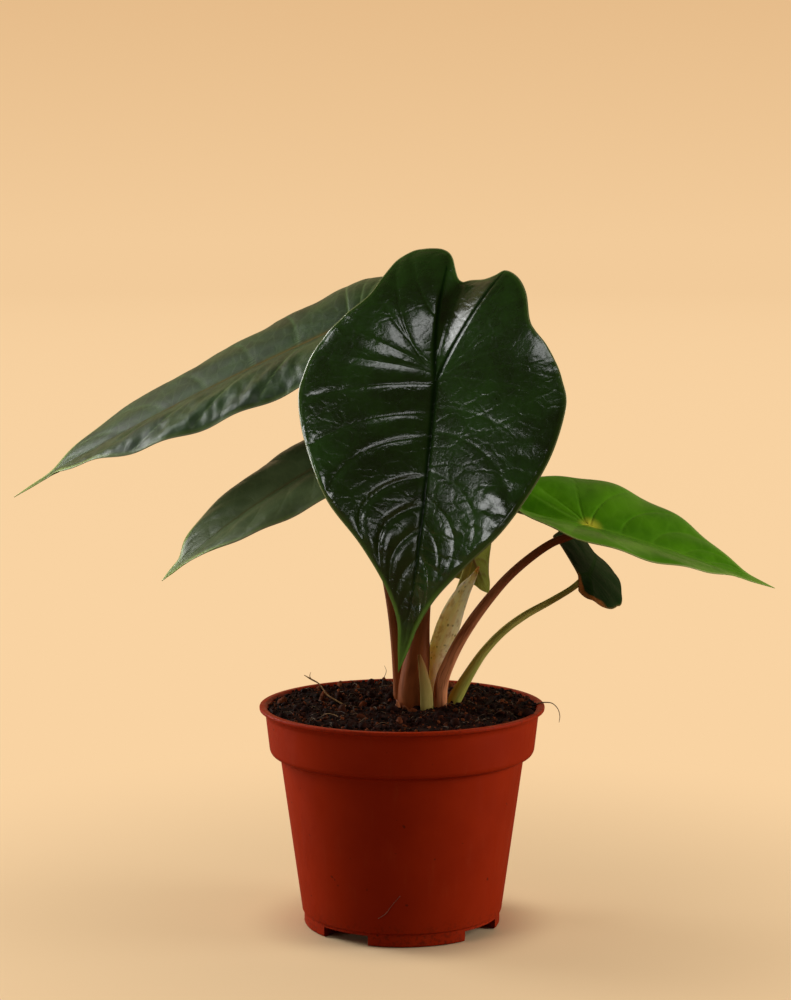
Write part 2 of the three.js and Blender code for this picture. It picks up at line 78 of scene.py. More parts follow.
# Soil and crown.
GAP = 0.3
SOIL_EDGE = 89.4
SOIL_MOUND = 2.8
SOIL_RADIUS = BAND_TOP_RADIUS - POT_WALL - GAP
CROWN_CENTRE = (10.5, 3, 88.5)
CROWN_REACH = (13.5, 11.5, 3.6)
TRUNK_CENTRE = (4.6, -2.4)
TRUNK_RADIUS = 6.4
STALK_FOOT = 84

# Half of a flat leaf, from the notch between its back lobes round to the drip tip:
# (share of half width, share of lobe length when negative or of blade length when positive).
HALF_OUTLINE = [
    (0, -0.7), (0.13, -0.865), (0.24, -0.96), (0.37, -0.9), (0.54, -0.745), (0.73, -0.38),
    (0.98, -0.05), (1.02, 0.07), (0.965, 0.2), (0.835, 0.33), (0.665, 0.455), (0.41, 0.58),
    (0.205, 0.7), (0.085, 0.81), (0.04, 0.91), (0, 1),
]

# What the leaves share. Angles are in degrees. Heading is the compass direction of the tip from +X,
# dip is how far it points down, and roll turns the blade about its midrib. Droop, swing and twist
# bend the midrib, fold is the V across it, rib how softly the V starts, and curl turns the margins
# down. Gutter is each side's slope between the ribs of the back lobes, and costa these ribs' angles.
# Skew widens one half, lobe_wide the back lobes, taper and belly fill out the outline, and tail
# narrows the tip. Rolled is how far the very margin turns down, and wave and waves are the height
# and number of its ripples. Groove is how deep the veins lie, quilt how far each half swells between
# them, seam how far from a vein it takes to swell, pucker how far each half crinkles, and crinkled
# where these crinkles begin and are full on the way to the margin. Low and high are what is left of
# that relief near the back lobes and further on. Laterals start at these shares of the length and
# arch is how far they bow forwards. Those of the back lobes go from one share of the lobe to
# another, the lower their third number the more they bow outwards. Sides and rings set the mesh.
SPECIES = dict(
    skew=0, lobe_skew=0, lobe_wide=1.18, taper=1, belly=1, tail=0, twist=0, lobe_droop=15,
    fold_lobe=0, gutter=(40, 40), costa=(22, 22), rolled=0.3, rib=2.2, wave=0.5, waves=5,
    quilt=(0.25, 0.25), seam=3, pucker=(0.15, 0.15), crinkled=(0.25, 0.75), low=(1, 1),
    high=(1, 1), groove=0.16, sides=120, rings=50, arch=0.15, vein_width=0.6,
    laterals=(0, 0.14, 0.27, 0.40, 0.52, 0.64, 0.75, 0.85),
    back_laterals=((0.03, 0.15, 2), (0.05, 0.36, 1.3), (0.06, 0.62, 1), (0.08, 0.88, 0.65),
                   (0.45, 0.96, 0.8)),
)

LEAVES = {
    "front": dict(
        attach=(13.8, -12, 229.7), heading=-117.7, dip=78.5, roll=-1.2,
        length=124, lobe=62, half_width=61, skew=0.01, lobe_skew=0.12, lobe_wide=1,
        droop=20.9, lobe_droop=35.3, swing=17.7, fold=10, fold_tip=20, fold_lobe=5, curl=16,
        gutter=(60, 20), costa=(10, 24), rib=2.5, rolled=0.8, quilt=(0.42, 0.2),
        seam=1.9, pucker=(0.16, 0.7), crinkled=(0.55, 0.9), low=(0.55, 0.1), high=(1, 0.5),
        groove=0.3, sides=210, rings=92,
        laterals=(0, 0.1, 0.18, 0.31, 0.4, 0.48, 0.58, 0.68, 0.78, 0.87),
        lobes={
            1: [(0, -0.782), (0.049, -0.72), (0.15, -0.835), (0.24, -0.885), (0.33, -0.893),
                (0.41, -0.885), (0.474, -0.865), (0.552, -0.79), (0.5925, -0.66), (0.636, -0.516),
                (0.747, -0.405), (0.857, -0.284), (0.938, -0.158), (0.99, -0.026)],
            -1: [(0, -0.782), (0.058, -0.9), (0.202, -0.866), (0.298, -0.878), (0.3725, -0.912),
                 (0.488, -0.843), (0.588, -0.696), (0.67, -0.47), (0.728, -0.383),
                 (0.8245, -0.28), (0.919, -0.138), (0.973, -0.02)],
        },
        stalk=dict(
            route=[(4.6, -2.4, STALK_FOOT), (4.7, -2.4, 98), (6.2, -1.4, 113), (8.3, 1.5, 131),
                   (12, 6, 160), (17, 8.5, 190), (20.5, 5.5, 212), (19.5, -2, 225)],
            radii=[6.2, 6.4, 5.4, 3.5, 2.7, 2.4, 2.2, 2.1, 2.3]),
    ),
    "long": dict(
        attach=(-21.1, 53, 252), heading=163.2, dip=23.3, roll=26.1,
        length=183.3, lobe=42.3, half_width=47.5, skew=0.05, taper=0.6, belly=0.61,
        droop=6.9, lobe_droop=15.6, swing=-3.8, twist=-7.4, fold=20.5, fold_tip=15.9, curl=59.5,
        rib=2.5, wave=0.9, waves=7, tail=0.65, quilt=(0.15, 0.36), pucker=(0.1, 0.6),
        seam=2.4, sides=190, rings=80,
        stalk=dict(
            route=[(4.3, 12, STALK_FOOT), (4.3, 12, 98), (3.8, 11.6, 125), (3.4, 11.4, 155),
                   (4, 15, 185), (3.4, 26, 210), (-2.5, 39, 231), (-12, 48, 245)],
            radii=[2.6, 2.6, 2.4, 2.2, 2.1, 2, 2, 2, 2.2]),
    ),
    "left": dict(
        attach=(-29.2, 33, 194.7), heading=193, dip=28.3, roll=20.9,
        length=91.2, lobe=32, half_width=27.4, skew=0.02, taper=0.55, belly=0.66,
        droop=13.5, swing=-5.8, twist=-8.6, fold=16.6, fold_tip=17.3, curl=44.3, tail=0.5,
        sides=130, rings=60,
        stalk=dict(
            route=[(-1.2, 8, STALK_FOOT), (-1, 8, 97.5), (-1.5, 8.5, 105), (-2.5, 10, 117.3),
                   (-4.2, 12.5, 131), (-7.2, 16, 147), (-13.5, 22, 166), (-22.5, 28.5, 183.5)],
            radii=[2.7, 2.7, 2.5, 2.3, 2.1, 2, 1.9, 1.8, 2]),
    ),
    "young": dict(
        attach=(78.6, -2, 168.9), heading=0.2, dip=16.2, roll=-18,
        length=83, lobe=37.4, half_width=34.2, taper=0.77, belly=0.82,
        droop=9.1, lobe_droop=-13.8, swing=-6.3, twist=4.4, fold=22.1, fold_tip=14.7, fold_lobe=20,
        curl=23.3, rib=2, wave=0.7, tail=0.3, quilt=(0.3, 0.2), pucker=(0.15, 0.1), groove=0.2,
        sides=140, rings=64,
        laterals=(0.01, 0.17, 0.34, 0.5, 0.64, 0.77), arch=0.5,
        back_laterals=((0.04, 0.3, 1.5), (0.08, 0.85, 0.8)),
        stalk=dict(
            route=[(16.3, -2.5, STALK_FOOT), (16.1, -2.6, 98), (17.2, -3, 105), (19.2, -3.5, 110.3),
                   (23.7, -4, 119.7), (29.4, -4, 129), (36.2, -4, 138.2), (44.2, -3.5, 147.4),
                   (53.3, -3, 155.4), (62.5, -2.5, 161.6), (70, -2.2, 164.6)],
            radii=[2.9, 2.9, 2.8, 2.6, 2.4, 2.3, 2.1, 1.9, 1.8, 1.7, 1.7, 1.8]),
    ),
    "right": dict(
        attach=(79.9, 20, 145.4), heading=76, dip=-12, roll=-50,
        length=62, lobe=24, half_width=21.5, lobe_wide=1, taper=0.45,
        droop=35, lobe_droop=0, swing=0, fold=6, fold_tip=14, curl=30, gutter=(30, 30), rib=2,
        wave=0.3, groove=0.08, quilt=(0.08, 0.08),
        lobes={
            1: [(0, -0.7), (0.25, -0.77), (0.45, -0.66), (0.64, -0.46), (0.78, -0.25), (0.85, -0.04),
                (0.91, 0.08), (0.94, 0.14)],
            -1: [(0, -0.7), (0.09, -0.56), (0.23, -0.45), (0.37, -0.34), (0.56, -0.22), (0.72, -0.12),
                 (0.84, -0.0125)],
        },
        sides=90, rings=40, laterals=(0, 0.18, 0.36, 0.53, 0.7),
        stalk=dict(
            route=[(21.6, 3.3, STALK_FOOT), (21.9, 3.4, 93), (23.9, 3.7, 97.3), (28.6, 5, 105.3),
                   (34.5, 7.5, 113.7), (42.6, 10, 122), (52.1, 13, 128.6), (63.9, 16, 134.7),
                   (72.6, 18.4, 139.6)],
            radii=[2.9, 2.9, 2.8, 2.3, 1.9, 1.7, 1.6, 1.4, 1.3, 1.5]),
    ),
    "back": dict(
        attach=(23.4, 34, 166.6), heading=72, dip=38, roll=48,
        length=59.5, lobe=22, half_width=26, taper=0.72, droop=6, swing=0,
        fold=26, fold_tip=24, fold_lobe=10, curl=12, gutter=(38, 38), rib=2, wave=0.3,
        quilt=(0.3, 0.3), sides=90, rings=40,
        laterals=(0, 0.18, 0.36, 0.53, 0.7),
        stalk=dict(
            route=[(10.5, 13.5, STALK_FOOT), (10.8, 13.6, 98), (14, 14.8, 112), (20, 17.5, 128),
                   (26.5, 22, 143), (29, 27, 155)],
            radii=[2.2, 2.2, 2, 1.8, 1.7, 1.6, 1.8]),
    ),
}

# The rolled new leaf, and the pale sheath at the trunk's foot.
SHOOT_ROUTE = [(12.8, 6.5, STALK_FOOT), (12.8, 6.5, 98), (13.8, 6.6, 110.4), (16.6, 6.6, 116.8),
               (19.4, 6.4, 124.7), (22.3, 5.9, 132.6), (26.4, 5.2, 141), (29.8, 4.6, 146),
               (32.3, 4, 150.9)]
SHOOT_RADII = [3.6, 3.7, 4.3, 4.7, 4.9, 4.2, 2.8, 1.5, 0.4]
SHEATH_ROUTE = [(10.4, -9.4, 88), (10.4, -9.6, 94), (10, -9.6, 101), (9.2, -9.5, 106),
                (8.2, -8.9, 111), (7.1, -8.1, 115.5)]
SHEATH_HALF_WIDTHS = [2.6, 2.8, 2.6, 2.1, 1.5, 0.6]
SHEATH_THICKNESS = 1.3
SHOOT_LENGTH = 70
SHEATH_LENGTH = 27


# Small helpers.

def smoothstep(value, low, high):
    share = np.clip((value - low) / (high - low), 0, 1)
    return share * share * (3 - 2 * share)


def colour(text):
    """Linear RGBA of a colour written as six hex digits."""
    channels = [int(text[k:k + 2], 16) / 255 for k in (0, 2, 4)]
    linear = [c / 12.92 if c <= 0.04045 else ((c + 0.055) / 1.055) ** 2.4 for c in channels]
    return (*linear, 1)


def direction(azimuth, elevation):
    """Unit vector towards a place round the pot. Azimuth 0 is the front, 90 the right."""
    a, e = math.radians(azimuth), math.radians(elevation)
    return Vector((math.sin(a) * math.cos(e), -math.cos(a) * math.cos(e), math.sin(e)))


def unit(vectors):
    return vectors / np.maximum(np.linalg.norm(vectors, axis=-1, keepdims=True), 1e-12)


def ring_angles(sides):
    return np.linspace(0, 2 * math.pi, sides, endpoint=False)


def ring(radius, height, angles):
    return [(radius * math.cos(a), radius * math.sin(a), height) for a in angles]


def make_piece(name, points, faces, materials, slots=None, **attributes):
    """A smooth mesh object from points in millimetres, with named values on its points."""
    mesh = bpy.data.meshes.new(name)
    mesh.from_pydata((np.asarray(points, float) * MM).tolist(), [], faces)
    for key, values in attributes.items():
        values = np.asarray(values, np.float32)
        kind, field = ("FLOAT", "value") if values.ndim == 1 else ("FLOAT_VECTOR", "vector")
        mesh.attributes.new(key, kind, "POINT").data.foreach_set(field, values.ravel())
    for material in materials:
        mesh.materials.append(material)
    if slots is not None:
        mesh.polygons.foreach_set("material_index", np.asarray(slots, np.int32))
    mesh.shade_smooth()
    mesh.update()
    piece = bpy.data.objects.new(name, mesh)
    bpy.context.scene.collection.objects.link(piece)
    return piece


def dress(piece, slot, *nodes):
    """Fastens a finished piece to the plant's one body, for the CAD nodes that it stands for."""
    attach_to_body(piece, "root")
    if nodes:
        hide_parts(*nodes)


def run_along(points, power=1):
    """The length run at each point of a line, or the sum of its legs' powers."""
    return np.concatenate([[0], np.cumsum(np.linalg.norm(np.diff(points, axis=0), axis=1) ** power)])


def even_steps(curve, count):
    run = run_along(curve)
    at = np.linspace(0, run[-1], count)
    return np.stack([np.interp(at, run, curve[:, k]) for k in range(curve.shape[1])], 1)


def with_ends(points):
    """A line with one more point before it and after it, each straight on."""
    return np.vstack([2 * points[0] - points[1], points, 2 * points[-1] - points[-2]])


def uniform_curve(points, count):
    """Evenly spaced points on a smooth curve through the given ones."""
    padded = with_ends(np.array(points, float))
    place = np.linspace(0, len(points) - 1, 40 * len(points))
    low = np.minimum(place.astype(int), len(points) - 2)
    t = (place - low)[:, None]
    a, b, c, d = (padded[low + k] for k in range(4))
    curve = 0.5 * (2 * b + (c - a) * t + (2 * a - 5 * b + 4 * c - d) * t**2
                   + (3 * b - a - 3 * c + d) * t**3)
    return even_steps(curve, count)


def blend(t, start, end, first, last):
    return ((end - t) * first + (t - start) * last) / (end - start)


def route_curve(route, radii, per_leg=8):
    """A smooth curve that keeps close to an uneven route, and the radius along it."""
    data = np.column_stack([np.array(route, float), radii])
    padded = with_ends(data)
    legs = []
    for leg in range(len(data) - 1):
        p = padded[leg:leg + 4]
        knots = run_along(p[:, :3], 0.5)
        t = np.linspace(knots[1], knots[2], per_leg, endpoint=False)[:, None]
        a = [blend(t, knots[k], knots[k + 1], p[k], p[k + 1]) for k in range(3)]
        b = [blend(t, knots[k], knots[k + 2], a[k], a[k + 1]) for k in range(2)]
        legs.append(blend(t, knots[1], knots[2], b[0], b[1]))
    curve = np.vstack([*legs, data[-1:]])
    return curve[:, :3], curve[:, 3]


def sweep(centres, offsets, across=(1, 0, 0)):
    """Rings of points round a line, closed at both ends. offsets has each ring's (across, deep) pairs."""
    tangents = unit(np.gradient(centres, axis=0))
    side = np.array(across, float)
    rings = []
    for centre, tangent, offset in zip(centres, tangents, offsets):
        side = unit(side - tangent * (side @ tangent))
        rings.append(centre + offset[:, :1] * side + offset[:, 1:] * np.cross(tangent, side))
    count = offsets.shape[1]
    points = np.vstack([*rings, centres[:1], centres[-1:]])
    first, last = len(points) - 2, len(points) - 1
    end_ring = (len(centres) - 1) * count
    faces = []
    for k in range(count):
        after = (k + 1) % count
        for low in range(0, end_ring, count):
            faces.append((low + k, low + after, low + after + count, low + k + count))
        faces.append((first, after, k))
        faces.append((last, end_ring + k, end_ring + after))
    return points, faces


def circle_offsets(radii, sides, shape=None):
    """A ring of (across, deep) offsets for each radius. shape(angle, row) may swell or pinch it."""
    angle = ring_angles(sides)
    rows = []
    for row, radius in enumerate(radii):
        r = radius * (shape(angle, row) if shape else 1)
        rows.append(np.stack([r * np.cos(angle), r * np.sin(angle)], 1))
    return np.array(rows)


def ball(subdivisions):
    """The points and faces of a round ball of radius 1."""
    shape = bmesh.new()
    bmesh.ops.create_icosphere(shape, subdivisions=subdivisions, radius=1)
    points = [v.co.copy() for v in shape.verts]
    faces = [tuple(v.index for v in face.verts) for face in shape.faces]
    shape.free()
    return points, faces


def fix_normals(piece):
    shape = bmesh.new()
    shape.from_mesh(piece.data)
    bmesh.ops.recalc_face_normals(shape, faces=shape.faces)
    shape.to_mesh(piece.data)
    shape.free()


def join_parts(name, parts, material, tints):
    """One piece from many (points, faces), each with its own tint."""
    points, faces, values = [], [], []
    start = 0
    for (part_points, part_faces), tint in zip(parts, tints):
        points.append(part_points)
        faces += [tuple(v + start for v in face) for face in part_faces]
        values.append(np.full(len(part_points), tint))
        start += len(part_points)
    piece = make_piece(name, np.vstack(points), faces, [material], tint=np.concatenate(values))
    fix_normals(piece)
    return piece


# Materials.

class Nodes:
    """Builds a node tree. Noise and mask values are sockets."""

    def __init__(self, tree):
        self.tree = tree

    def plug(self, socket, value):
        if isinstance(value, bpy.types.NodeSocket):
            self.tree.links.new(value, socket)
        else:
            socket.default_value = value

    def node(self, kind, output, inputs, **settings):
        made = self.tree.nodes.new(f"ShaderNode{kind}")
        for key, value in settings.items():
            setattr(made, key, value)
        for key, value in inputs.items():
            self.plug(made.inputs[key], value)
        return made.outputs[output]

    def place(self, kind="Object"):
        return self.node("TexCoord", kind, {})

    def axis(self, vector, name):
        return self.node("SeparateXYZ", name, {0: vector})

    def length(self, vector):
        return self.node("VectorMath", "Value", {0: vector}, operation="LENGTH")

    def spread(self, value, low, high, to_low=0, to_high=1, shape="SMOOTHSTEP"):
        return self.node("MapRange", "Result", {
            "Value": value, "From Min": low, "From Max": high, "To Min": to_low, "To Max": to_high},
            interpolation_type=shape)

    def math(self, operation, first, second):
        return self.node("Math", 0, {0: first, 1: second}, operation=operation)

    def times(self, first, second):
        return self.math("MULTIPLY", first, second)

    def mix(self, factor, first, second):
        return self.node("Mix", 2, {0: factor, 6: first, 7: second}, data_type="RGBA")

    def show(self, output, seen, lit):
        """Ends the tree in a shader that the eye sees, and another that lights the rest."""
        direct = self.node("LightPath", "Is Camera Ray", {})
        self.plug(output.inputs["Surface"], self.node("MixShader", 0, {0: direct, 1: lit, 2: seen}))


class Paint(Nodes):
    """Builds one material's nodes on a Principled shader."""

    def __init__(self, name, roughness=0.5, specular=0.5):
        self.material = bpy.data.materials.new(name)
        self.material.use_nodes = True
        super().__init__(self.material.node_tree)
        self.shader = self.tree.nodes["Principled BSDF"]
        self.set("Roughness", roughness)
        self.set("Specular IOR Level", specular)

    def set(self, name, value):
        self.plug(self.shader.inputs[name], value)

    def value(self, name):
        return self.node("Attribute", "Fac", {}, attribute_name=name)

    def vector(self, name):
        return self.node("Attribute", "Vector", {}, attribute_name=name)

    def scaled(self, vector, scale):
        return self.node("Mapping", "Vector", {"Vector": vector, "Scale": scale})

    def noise(self, vector, scale, detail=4, roughness=0.55, output="Fac"):
        return self.node("TexNoise", output, {
            "Vector": vector, "Scale": scale, "Detail": detail, "Roughness": roughness})

    def net(self, vector, scale, feature="DISTANCE_TO_EDGE"):
        """Distance to the lines of an irregular net, 0 on a line, or with F1 to its centres."""
        return self.node("TexVoronoi", "Distance", {"Vector": vector, "Scale": scale},
                         feature=feature)

    def coats(self, base, layers):
        """Paints the base colour, and on it each layer's colour where its factor is high."""
        tone = colour(base)
        for factor, text in layers:
            tone = self.mix(factor, tone, colour(text))
        self.set("Base Color", tone)

    def bump(self, height, depth_mm, under=None):
        inputs = {"Height": height, "Distance": depth_mm * MM}
        if under is not None:
            inputs["Normal"] = under
        return self.node("Bump", "Normal", inputs)


def leaf_upper(name, dark, light, vein, edge, tip, rib, gloss=0.2, vein_mix=0.25, rib_mix=0.4,
               band=0.35, shine=1, haze=0.07, net_depth=0.05, umbo=None, scorch=None):
    """A blade's upper face. Band is how green the margin is, umbo the tone over the stalk, and
    scorch that of a burnt margin on the back lobes."""
    p = Paint(name)
    ribs, margin, tips, flat = p.value("rib"), p.value("edge"), p.value("tip"), p.vector("flat")
    p.set("Specular IOR Level", p.spread(ribs, 0, 0.6, 0.5 * shine, 0.1 * shine))
    p.set("Coat Weight", p.spread(ribs, 0, 0.6, 0.4 * shine, 0))
    p.set("Coat Roughness", haze)
    wobble = p.noise(flat, 0.4, detail=2, roughness=0.5, output="Color")
    bent = p.node("VectorMath", 0, {0: wobble, 1: (1.6, 1.6, 1.6), 2: flat}, operation="MULTIPLY_ADD")
    net = p.spread(p.net(bent, 0.3), 0, 0.16, 1, 0)
    branch = p.spread(p.net(p.scaled(bent, (0.75, 1.3, 1)), 0.13), 0, 0.16, 1, 0)
    border = p.times(p.spread(margin, 0.3, 0.7, 1, 0), p.spread(tips, 0, 0.9, 1, 0.4))
    # The rib layer is the midrib's own tone on most leaves; on the front leaf its near-black tone is
    # painted shade of the fold along the midrib.
    layers = [(p.spread(p.noise(flat, 0.045, detail=3), 0.35, 0.68), light),
              (p.spread(p.noise(flat, 0.25, detail=5), 0.45, 0.8, 0, 0.35), light),
              (p.times(branch, 0.1), vein), (p.times(p.value("vein"), vein_mix), vein),
              (p.times(ribs, rib_mix), rib), (tips, tip),
              (p.spread(margin, 0.75, 2.6, band, 0), tip), (border, edge)]
    if umbo:
        layers.append((p.spread(p.length(flat), 1.2, 6.5, 1, 0), umbo))
    if scorch:
        behind = p.spread(p.axis(flat, "Y"), -12, -8, 1, 0)
        layers.append((p.times(p.spread(margin, 2.2, 3.6, 1, 0), behind), scorch))
    p.coats(dark, layers)
    p.set("Roughness", p.spread(p.noise(flat, 0.6, detail=6), 0.3, 0.75, gloss, gloss + 0.1))
    pebble = p.bump(p.noise(flat, 1.6, detail=3), 0.025)
    p.set("Normal", p.bump(branch, -net_depth, p.bump(net, -0.3 * net_depth, pebble)))
    return p.material


def leaf_lower(name, base, light, rib, edge):
    p = Paint(name, roughness=0.42, specular=0.4)
    flat = p.vector("flat")
    net = p.spread(p.net(flat, 0.33), 0, 0.1, 1, 0)
    p.coats(base, [(p.spread(p.noise(flat, 0.12, detail=5), 0.35, 0.7), light),
                   (p.times(net, 0.25), light), (p.times(p.value("vein"), 0.6), rib),
                   (p.value("rib"), rib), (p.spread(p.value("edge"), 0.3, 0.7, 1, 0), edge)])
    p.set("Normal", p.bump(net, 0.08, p.bump(p.noise(flat, 1.5), 0.03)))
    return p.material


def stalk_skin(name, low, high, streak):
    """A stem's skin: one colour at the foot turns into another at the blade, with long streaks."""
    p = Paint(name, specular=0.07)
    skin = p.vector("skin")
    grain = p.noise(p.scaled(skin, (1.1, 1.1, 0.09)), 1, detail=3)
    flecks = p.noise(p.scaled(skin, (0.9, 0.9, 0.25)), 1, detail=1)
    p.coats(low, [(p.value("rise"), high), (p.spread(grain, 0.42, 0.7, 0, 0.75), streak),
                  (p.spread(flecks, 0.62, 0.75, 0, 0.3), streak)])
    p.set("Roughness", p.spread(grain, 0.3, 0.7, 0.48, 0.66))
    p.set("Normal", p.bump(grain, 0.03))
    return p.material


def shoot_skin_painted_light():
    p = Paint("shoot_skin_painted_light", specular=0.3)
    p.set("Subsurface Weight", 0.9)
    p.set("Subsurface Radius", (1.0, 0.8, 0.45))
    p.set("Subsurface Scale", 0.03)
    skin, rise = p.vector("skin"), p.value("rise")
    grain = p.noise(p.scaled(skin, (0.9, 0.9, 0.08)), 1, detail=3)
    mottle = p.noise(p.scaled(skin, (0.5, 0.5, 0.3)), 1, detail=3)
    specks = p.spread(p.net(p.scaled(skin, (0.6, 0.6, 0.4)), 1, "F1"), 0.16, 0.34, 0.7, 0)
    sparse = p.spread(p.noise(skin, 0.35, detail=2), 0.52, 0.6)
    # The pale cream base tones are partly the shoot's own tan and partly painted light, lifted to make up
    # for the shade it lies in.
    p.coats("ffe8b8", [(p.spread(grain, 0.35, 0.7), "fad49a"),
                       (p.spread(mottle, 0.5, 0.7, 0, 0.55), "c08448"),
                       (p.spread(rise, 0.1, 0.45, 0.8, 0), "f0a074"),
                       (p.times(specks, sparse), "5a3a1c"), (p.spread(rise, 0.8, 0.95), "4a2c16")])
    p.set("Roughness", p.spread(grain, 0.3, 0.7, 0.35, 0.5))
    p.set("Normal", p.bump(grain, 0.1))
    return p.material


def pot_plastic():
    """Moulded terracotta-coloured plastic with a satin skin, fine scuffs and traces of soil."""
    p = Paint("pot_plastic", specular=0.08)
    place = p.place()
    height = p.axis(place, "Z")
    scuff = p.noise(p.scaled(place, (260, 260, 40)), 1, detail=5, roughness=0.6)
    low_dirt = p.spread(height, 0, 0.014, 0.55, 0)
    rim_dirt = p.spread(height, 0.0885, 0.0925, 0, 0.35)
    dirt = p.times(p.spread(p.noise(place, 700, detail=3), 0.45, 0.7),
                   p.math("MAXIMUM", low_dirt, rim_dirt))
    specks = p.times(p.spread(p.noise(place, 260, detail=1), 0.74, 0.78), 0.6)
    p.coats("ac2c0a", [(p.spread(p.noise(place, 45), 0.35, 0.7), "b4300c"),
                       (p.spread(scuff, 0.56, 0.8, 0, 0.12), "c05a30"),
                       (p.math("MAXIMUM", dirt, specks), "3a1d12")])
    p.set("Roughness", p.spread(scuff, 0.3, 0.7, 0.4, 0.55))
    p.set("Normal", p.bump(scuff, 0.05, p.bump(p.noise(place, 1600, detail=2), 0.02)))
    return p.material


def soil_earth():
    p = Paint("soil_earth", specular=0.12)
    place = p.place()
    grain = p.noise(place, 420, detail=6, roughness=0.7)
    p.coats("0c0402", [(p.spread(grain, 0.38, 0.68), "381508"),
                       (p.spread(p.noise(place, 90, detail=3), 0.5, 0.75, 0, 0.6), "381508"),
                       (p.times(p.spread(p.value("tint"), 0.6, 1), 0.85), "8c4620")])
    p.set("Roughness", p.spread(grain, 0.3, 0.7, 0.7, 0.95))
    p.set("Normal", p.bump(grain, 0.35))
    return p.material


def plain_skin(name, base, spot, roughness=0.5, scale=300, depth=0.1):
    """Fibrous skin in two tones, for roots, scales and hairs."""
    p = Paint(name, roughness=roughness, specular=0.4)
    grain = p.noise(p.scaled(p.place(), (1, 1, 0.35)), scale, detail=5)
    p.coats(base, [(p.spread(grain, 0.4, 0.68), spot)])
    p.set("Normal", p.bump(grain, depth))
    return p.material


# Leaf blades. A point of the flat leaf is (x across, s along the midrib from the stalk's junction).

def turn(first, second, angle):
    c, s = np.cos(angle)[:, None], np.sin(angle)[:, None]
    return c * first + s * second, c * second - s * first


def blade_axes(leaf, s):
    """Directions along, across and out of the blade where its midrib has run s from the junction."""
    heading, dip, roll = (math.radians(leaf[key]) for key in ("heading", "dip", "roll"))
    forward = np.clip(s / leaf["length"], 0, None)
    backward = np.clip(-s / leaf["lobe"], 0, None)
    bend = math.radians(leaf["droop"]) * forward**1.3 - math.radians(leaf["lobe_droop"]) * backward
    level = math.cos(dip)
    along = np.array([math.cos(heading) * level, math.sin(heading) * level, -math.sin(dip)])
    across = unit(np.cross(along, UP))
    out = np.cross(across, along)
    along, across, out = (np.tile(v, (len(s), 1)) for v in (along, across, out))
    across, out = turn(across, out, np.full(len(s), roll))
    along, out = turn(along, out, -bend)
    along, across = turn(along, across, math.radians(leaf["swing"]) * forward**1.5)
    across, out = turn(across, out, math.radians(leaf["twist"]) * s / leaf["length"])
    return along, across, out


def spine_points(leaf, s):
    marks = np.linspace(-1.15 * leaf["lobe"], leaf["length"], 500)
    steps = blade_axes(leaf, (marks[1:] + marks[:-1]) / 2)[0] * np.diff(marks)[:, None]
    run = np.vstack([np.zeros(3), np.cumsum(steps, axis=0)])

    def at(value):
        return np.stack([np.interp(value, marks, run[:, k]) for k in range(3)], -1)

    return np.array(leaf["attach"]) + at(s) - at(0.0)


def back_rib(leaf, s, half):
    """How far the ribs of the back lobes lie from the midrib's line. Half is 0 for x > 0, else 1."""
    return np.tan(np.radians(leaf["costa"]))[half] * np.clip(-s, 0, None)


def section_slope(leaf, r, s, half):
    forward = smoothstep(s, 0, leaf["length"])
    backward = smoothstep(-s, 0, leaf["lobe"])
    fold = (leaf["fold"] + (leaf["fold_tip"] - leaf["fold"]) * forward
            + (leaf["fold_lobe"] - leaf["fold"]) * backward)
    slope = fold - leaf["curl"] * (r / leaf["half_width"]) ** 1.6
    costa = back_rib(leaf, s, half)
    soft = np.maximum(costa / 2, 1.5)
    in_gutter = 1 - smoothstep(r, costa - soft / 2, costa + soft / 2)
    in_gutter = in_gutter * np.clip(-s / (0.08 * leaf["lobe"]), 0, 1)
    rounded = 1 - np.exp(-r / leaf["rib"])
    return np.radians(slope + (np.array(leaf["gutter"])[half] - slope) * in_gutter) * rounded


def section_point(leaf, r, s, half, steps=24):
    lateral, height = np.zeros_like(r), np.zeros_like(r)
    for k in range(steps):
        slope = section_slope(leaf, r * (k + 0.5) / steps, s, half)
        lateral += np.cos(slope) * r / steps
        height += np.sin(slope) * r / steps
    return lateral, height


def blade_points(leaf, flat, ripple):
    x, s = flat[:, 0], flat[:, 1]
    _, across, out = blade_axes(leaf, s)
    half = (x < 0).astype(int)
    lateral, height = section_point(leaf, np.abs(x), s, half)
    ridge = section_point(leaf, back_rib(leaf, s, 0), s, 0)[1]
    return (spine_points(leaf, s) + across * (np.sign(x) * lateral)[:, None]
            + out * (height - ridge + ripple)[:, None])


def half_outline(leaf, side, count):
    outline = HALF_OUTLINE
    if "lobes" in leaf:
        lobe = leaf["lobes"][side]
        outline = lobe + [point for point in HALF_OUTLINE if point[1] > max(0, lobe[-1][1])]
    points = []
    for share, along in outline:
        width = leaf["half_width"] * (1 + side * leaf["skew"])
        if along > 0:
            s = along ** leaf["belly"]
            narrowing = 1 - leaf["tail"] * smoothstep(s, 0.8, 0.9)
            points.append((side * width * narrowing * (share ** leaf["taper"] if s > 0.11 else share),
                           s * leaf["length"]))
        else:
            wide = leaf["lobe_wide"] if along < -0.3 else 1
            reach = leaf["lobe"] * (1 + (side * leaf["lobe_skew"] if share > 0 else 0))
            points.append((side * share * width * wide, along * reach))
    return uniform_curve(points, count)


def outer_edge(leaf, side):
    """The outline's outer edge, as a function from the place along the leaf to its half width."""
    outline = half_outline(leaf, side, 400)
    outer = outline[np.argmin(outline[:, 1]):]
    return lambda s: np.interp(s, outer[:, 1], np.abs(outer[:, 0]))


def rib_lines(leaf):
    """The midrib and the back lobes' ribs, as lists of (x, s, half width)."""
    size = (leaf["length"] / 124) ** 0.5
    run = np.linspace(0, 1, 60)
    lines = [np.stack([0 * run, 0.985 * leaf["length"] * run, size * (1.5 - 1.15 * run)], 1)]
    for half, side in enumerate((1, -1)):
        back = -0.84 * leaf["lobe"] * run
        lines.append(np.stack([side * back_rib(leaf, back, half), back, size * (1.2 - 0.8 * run)], 1))
    return lines


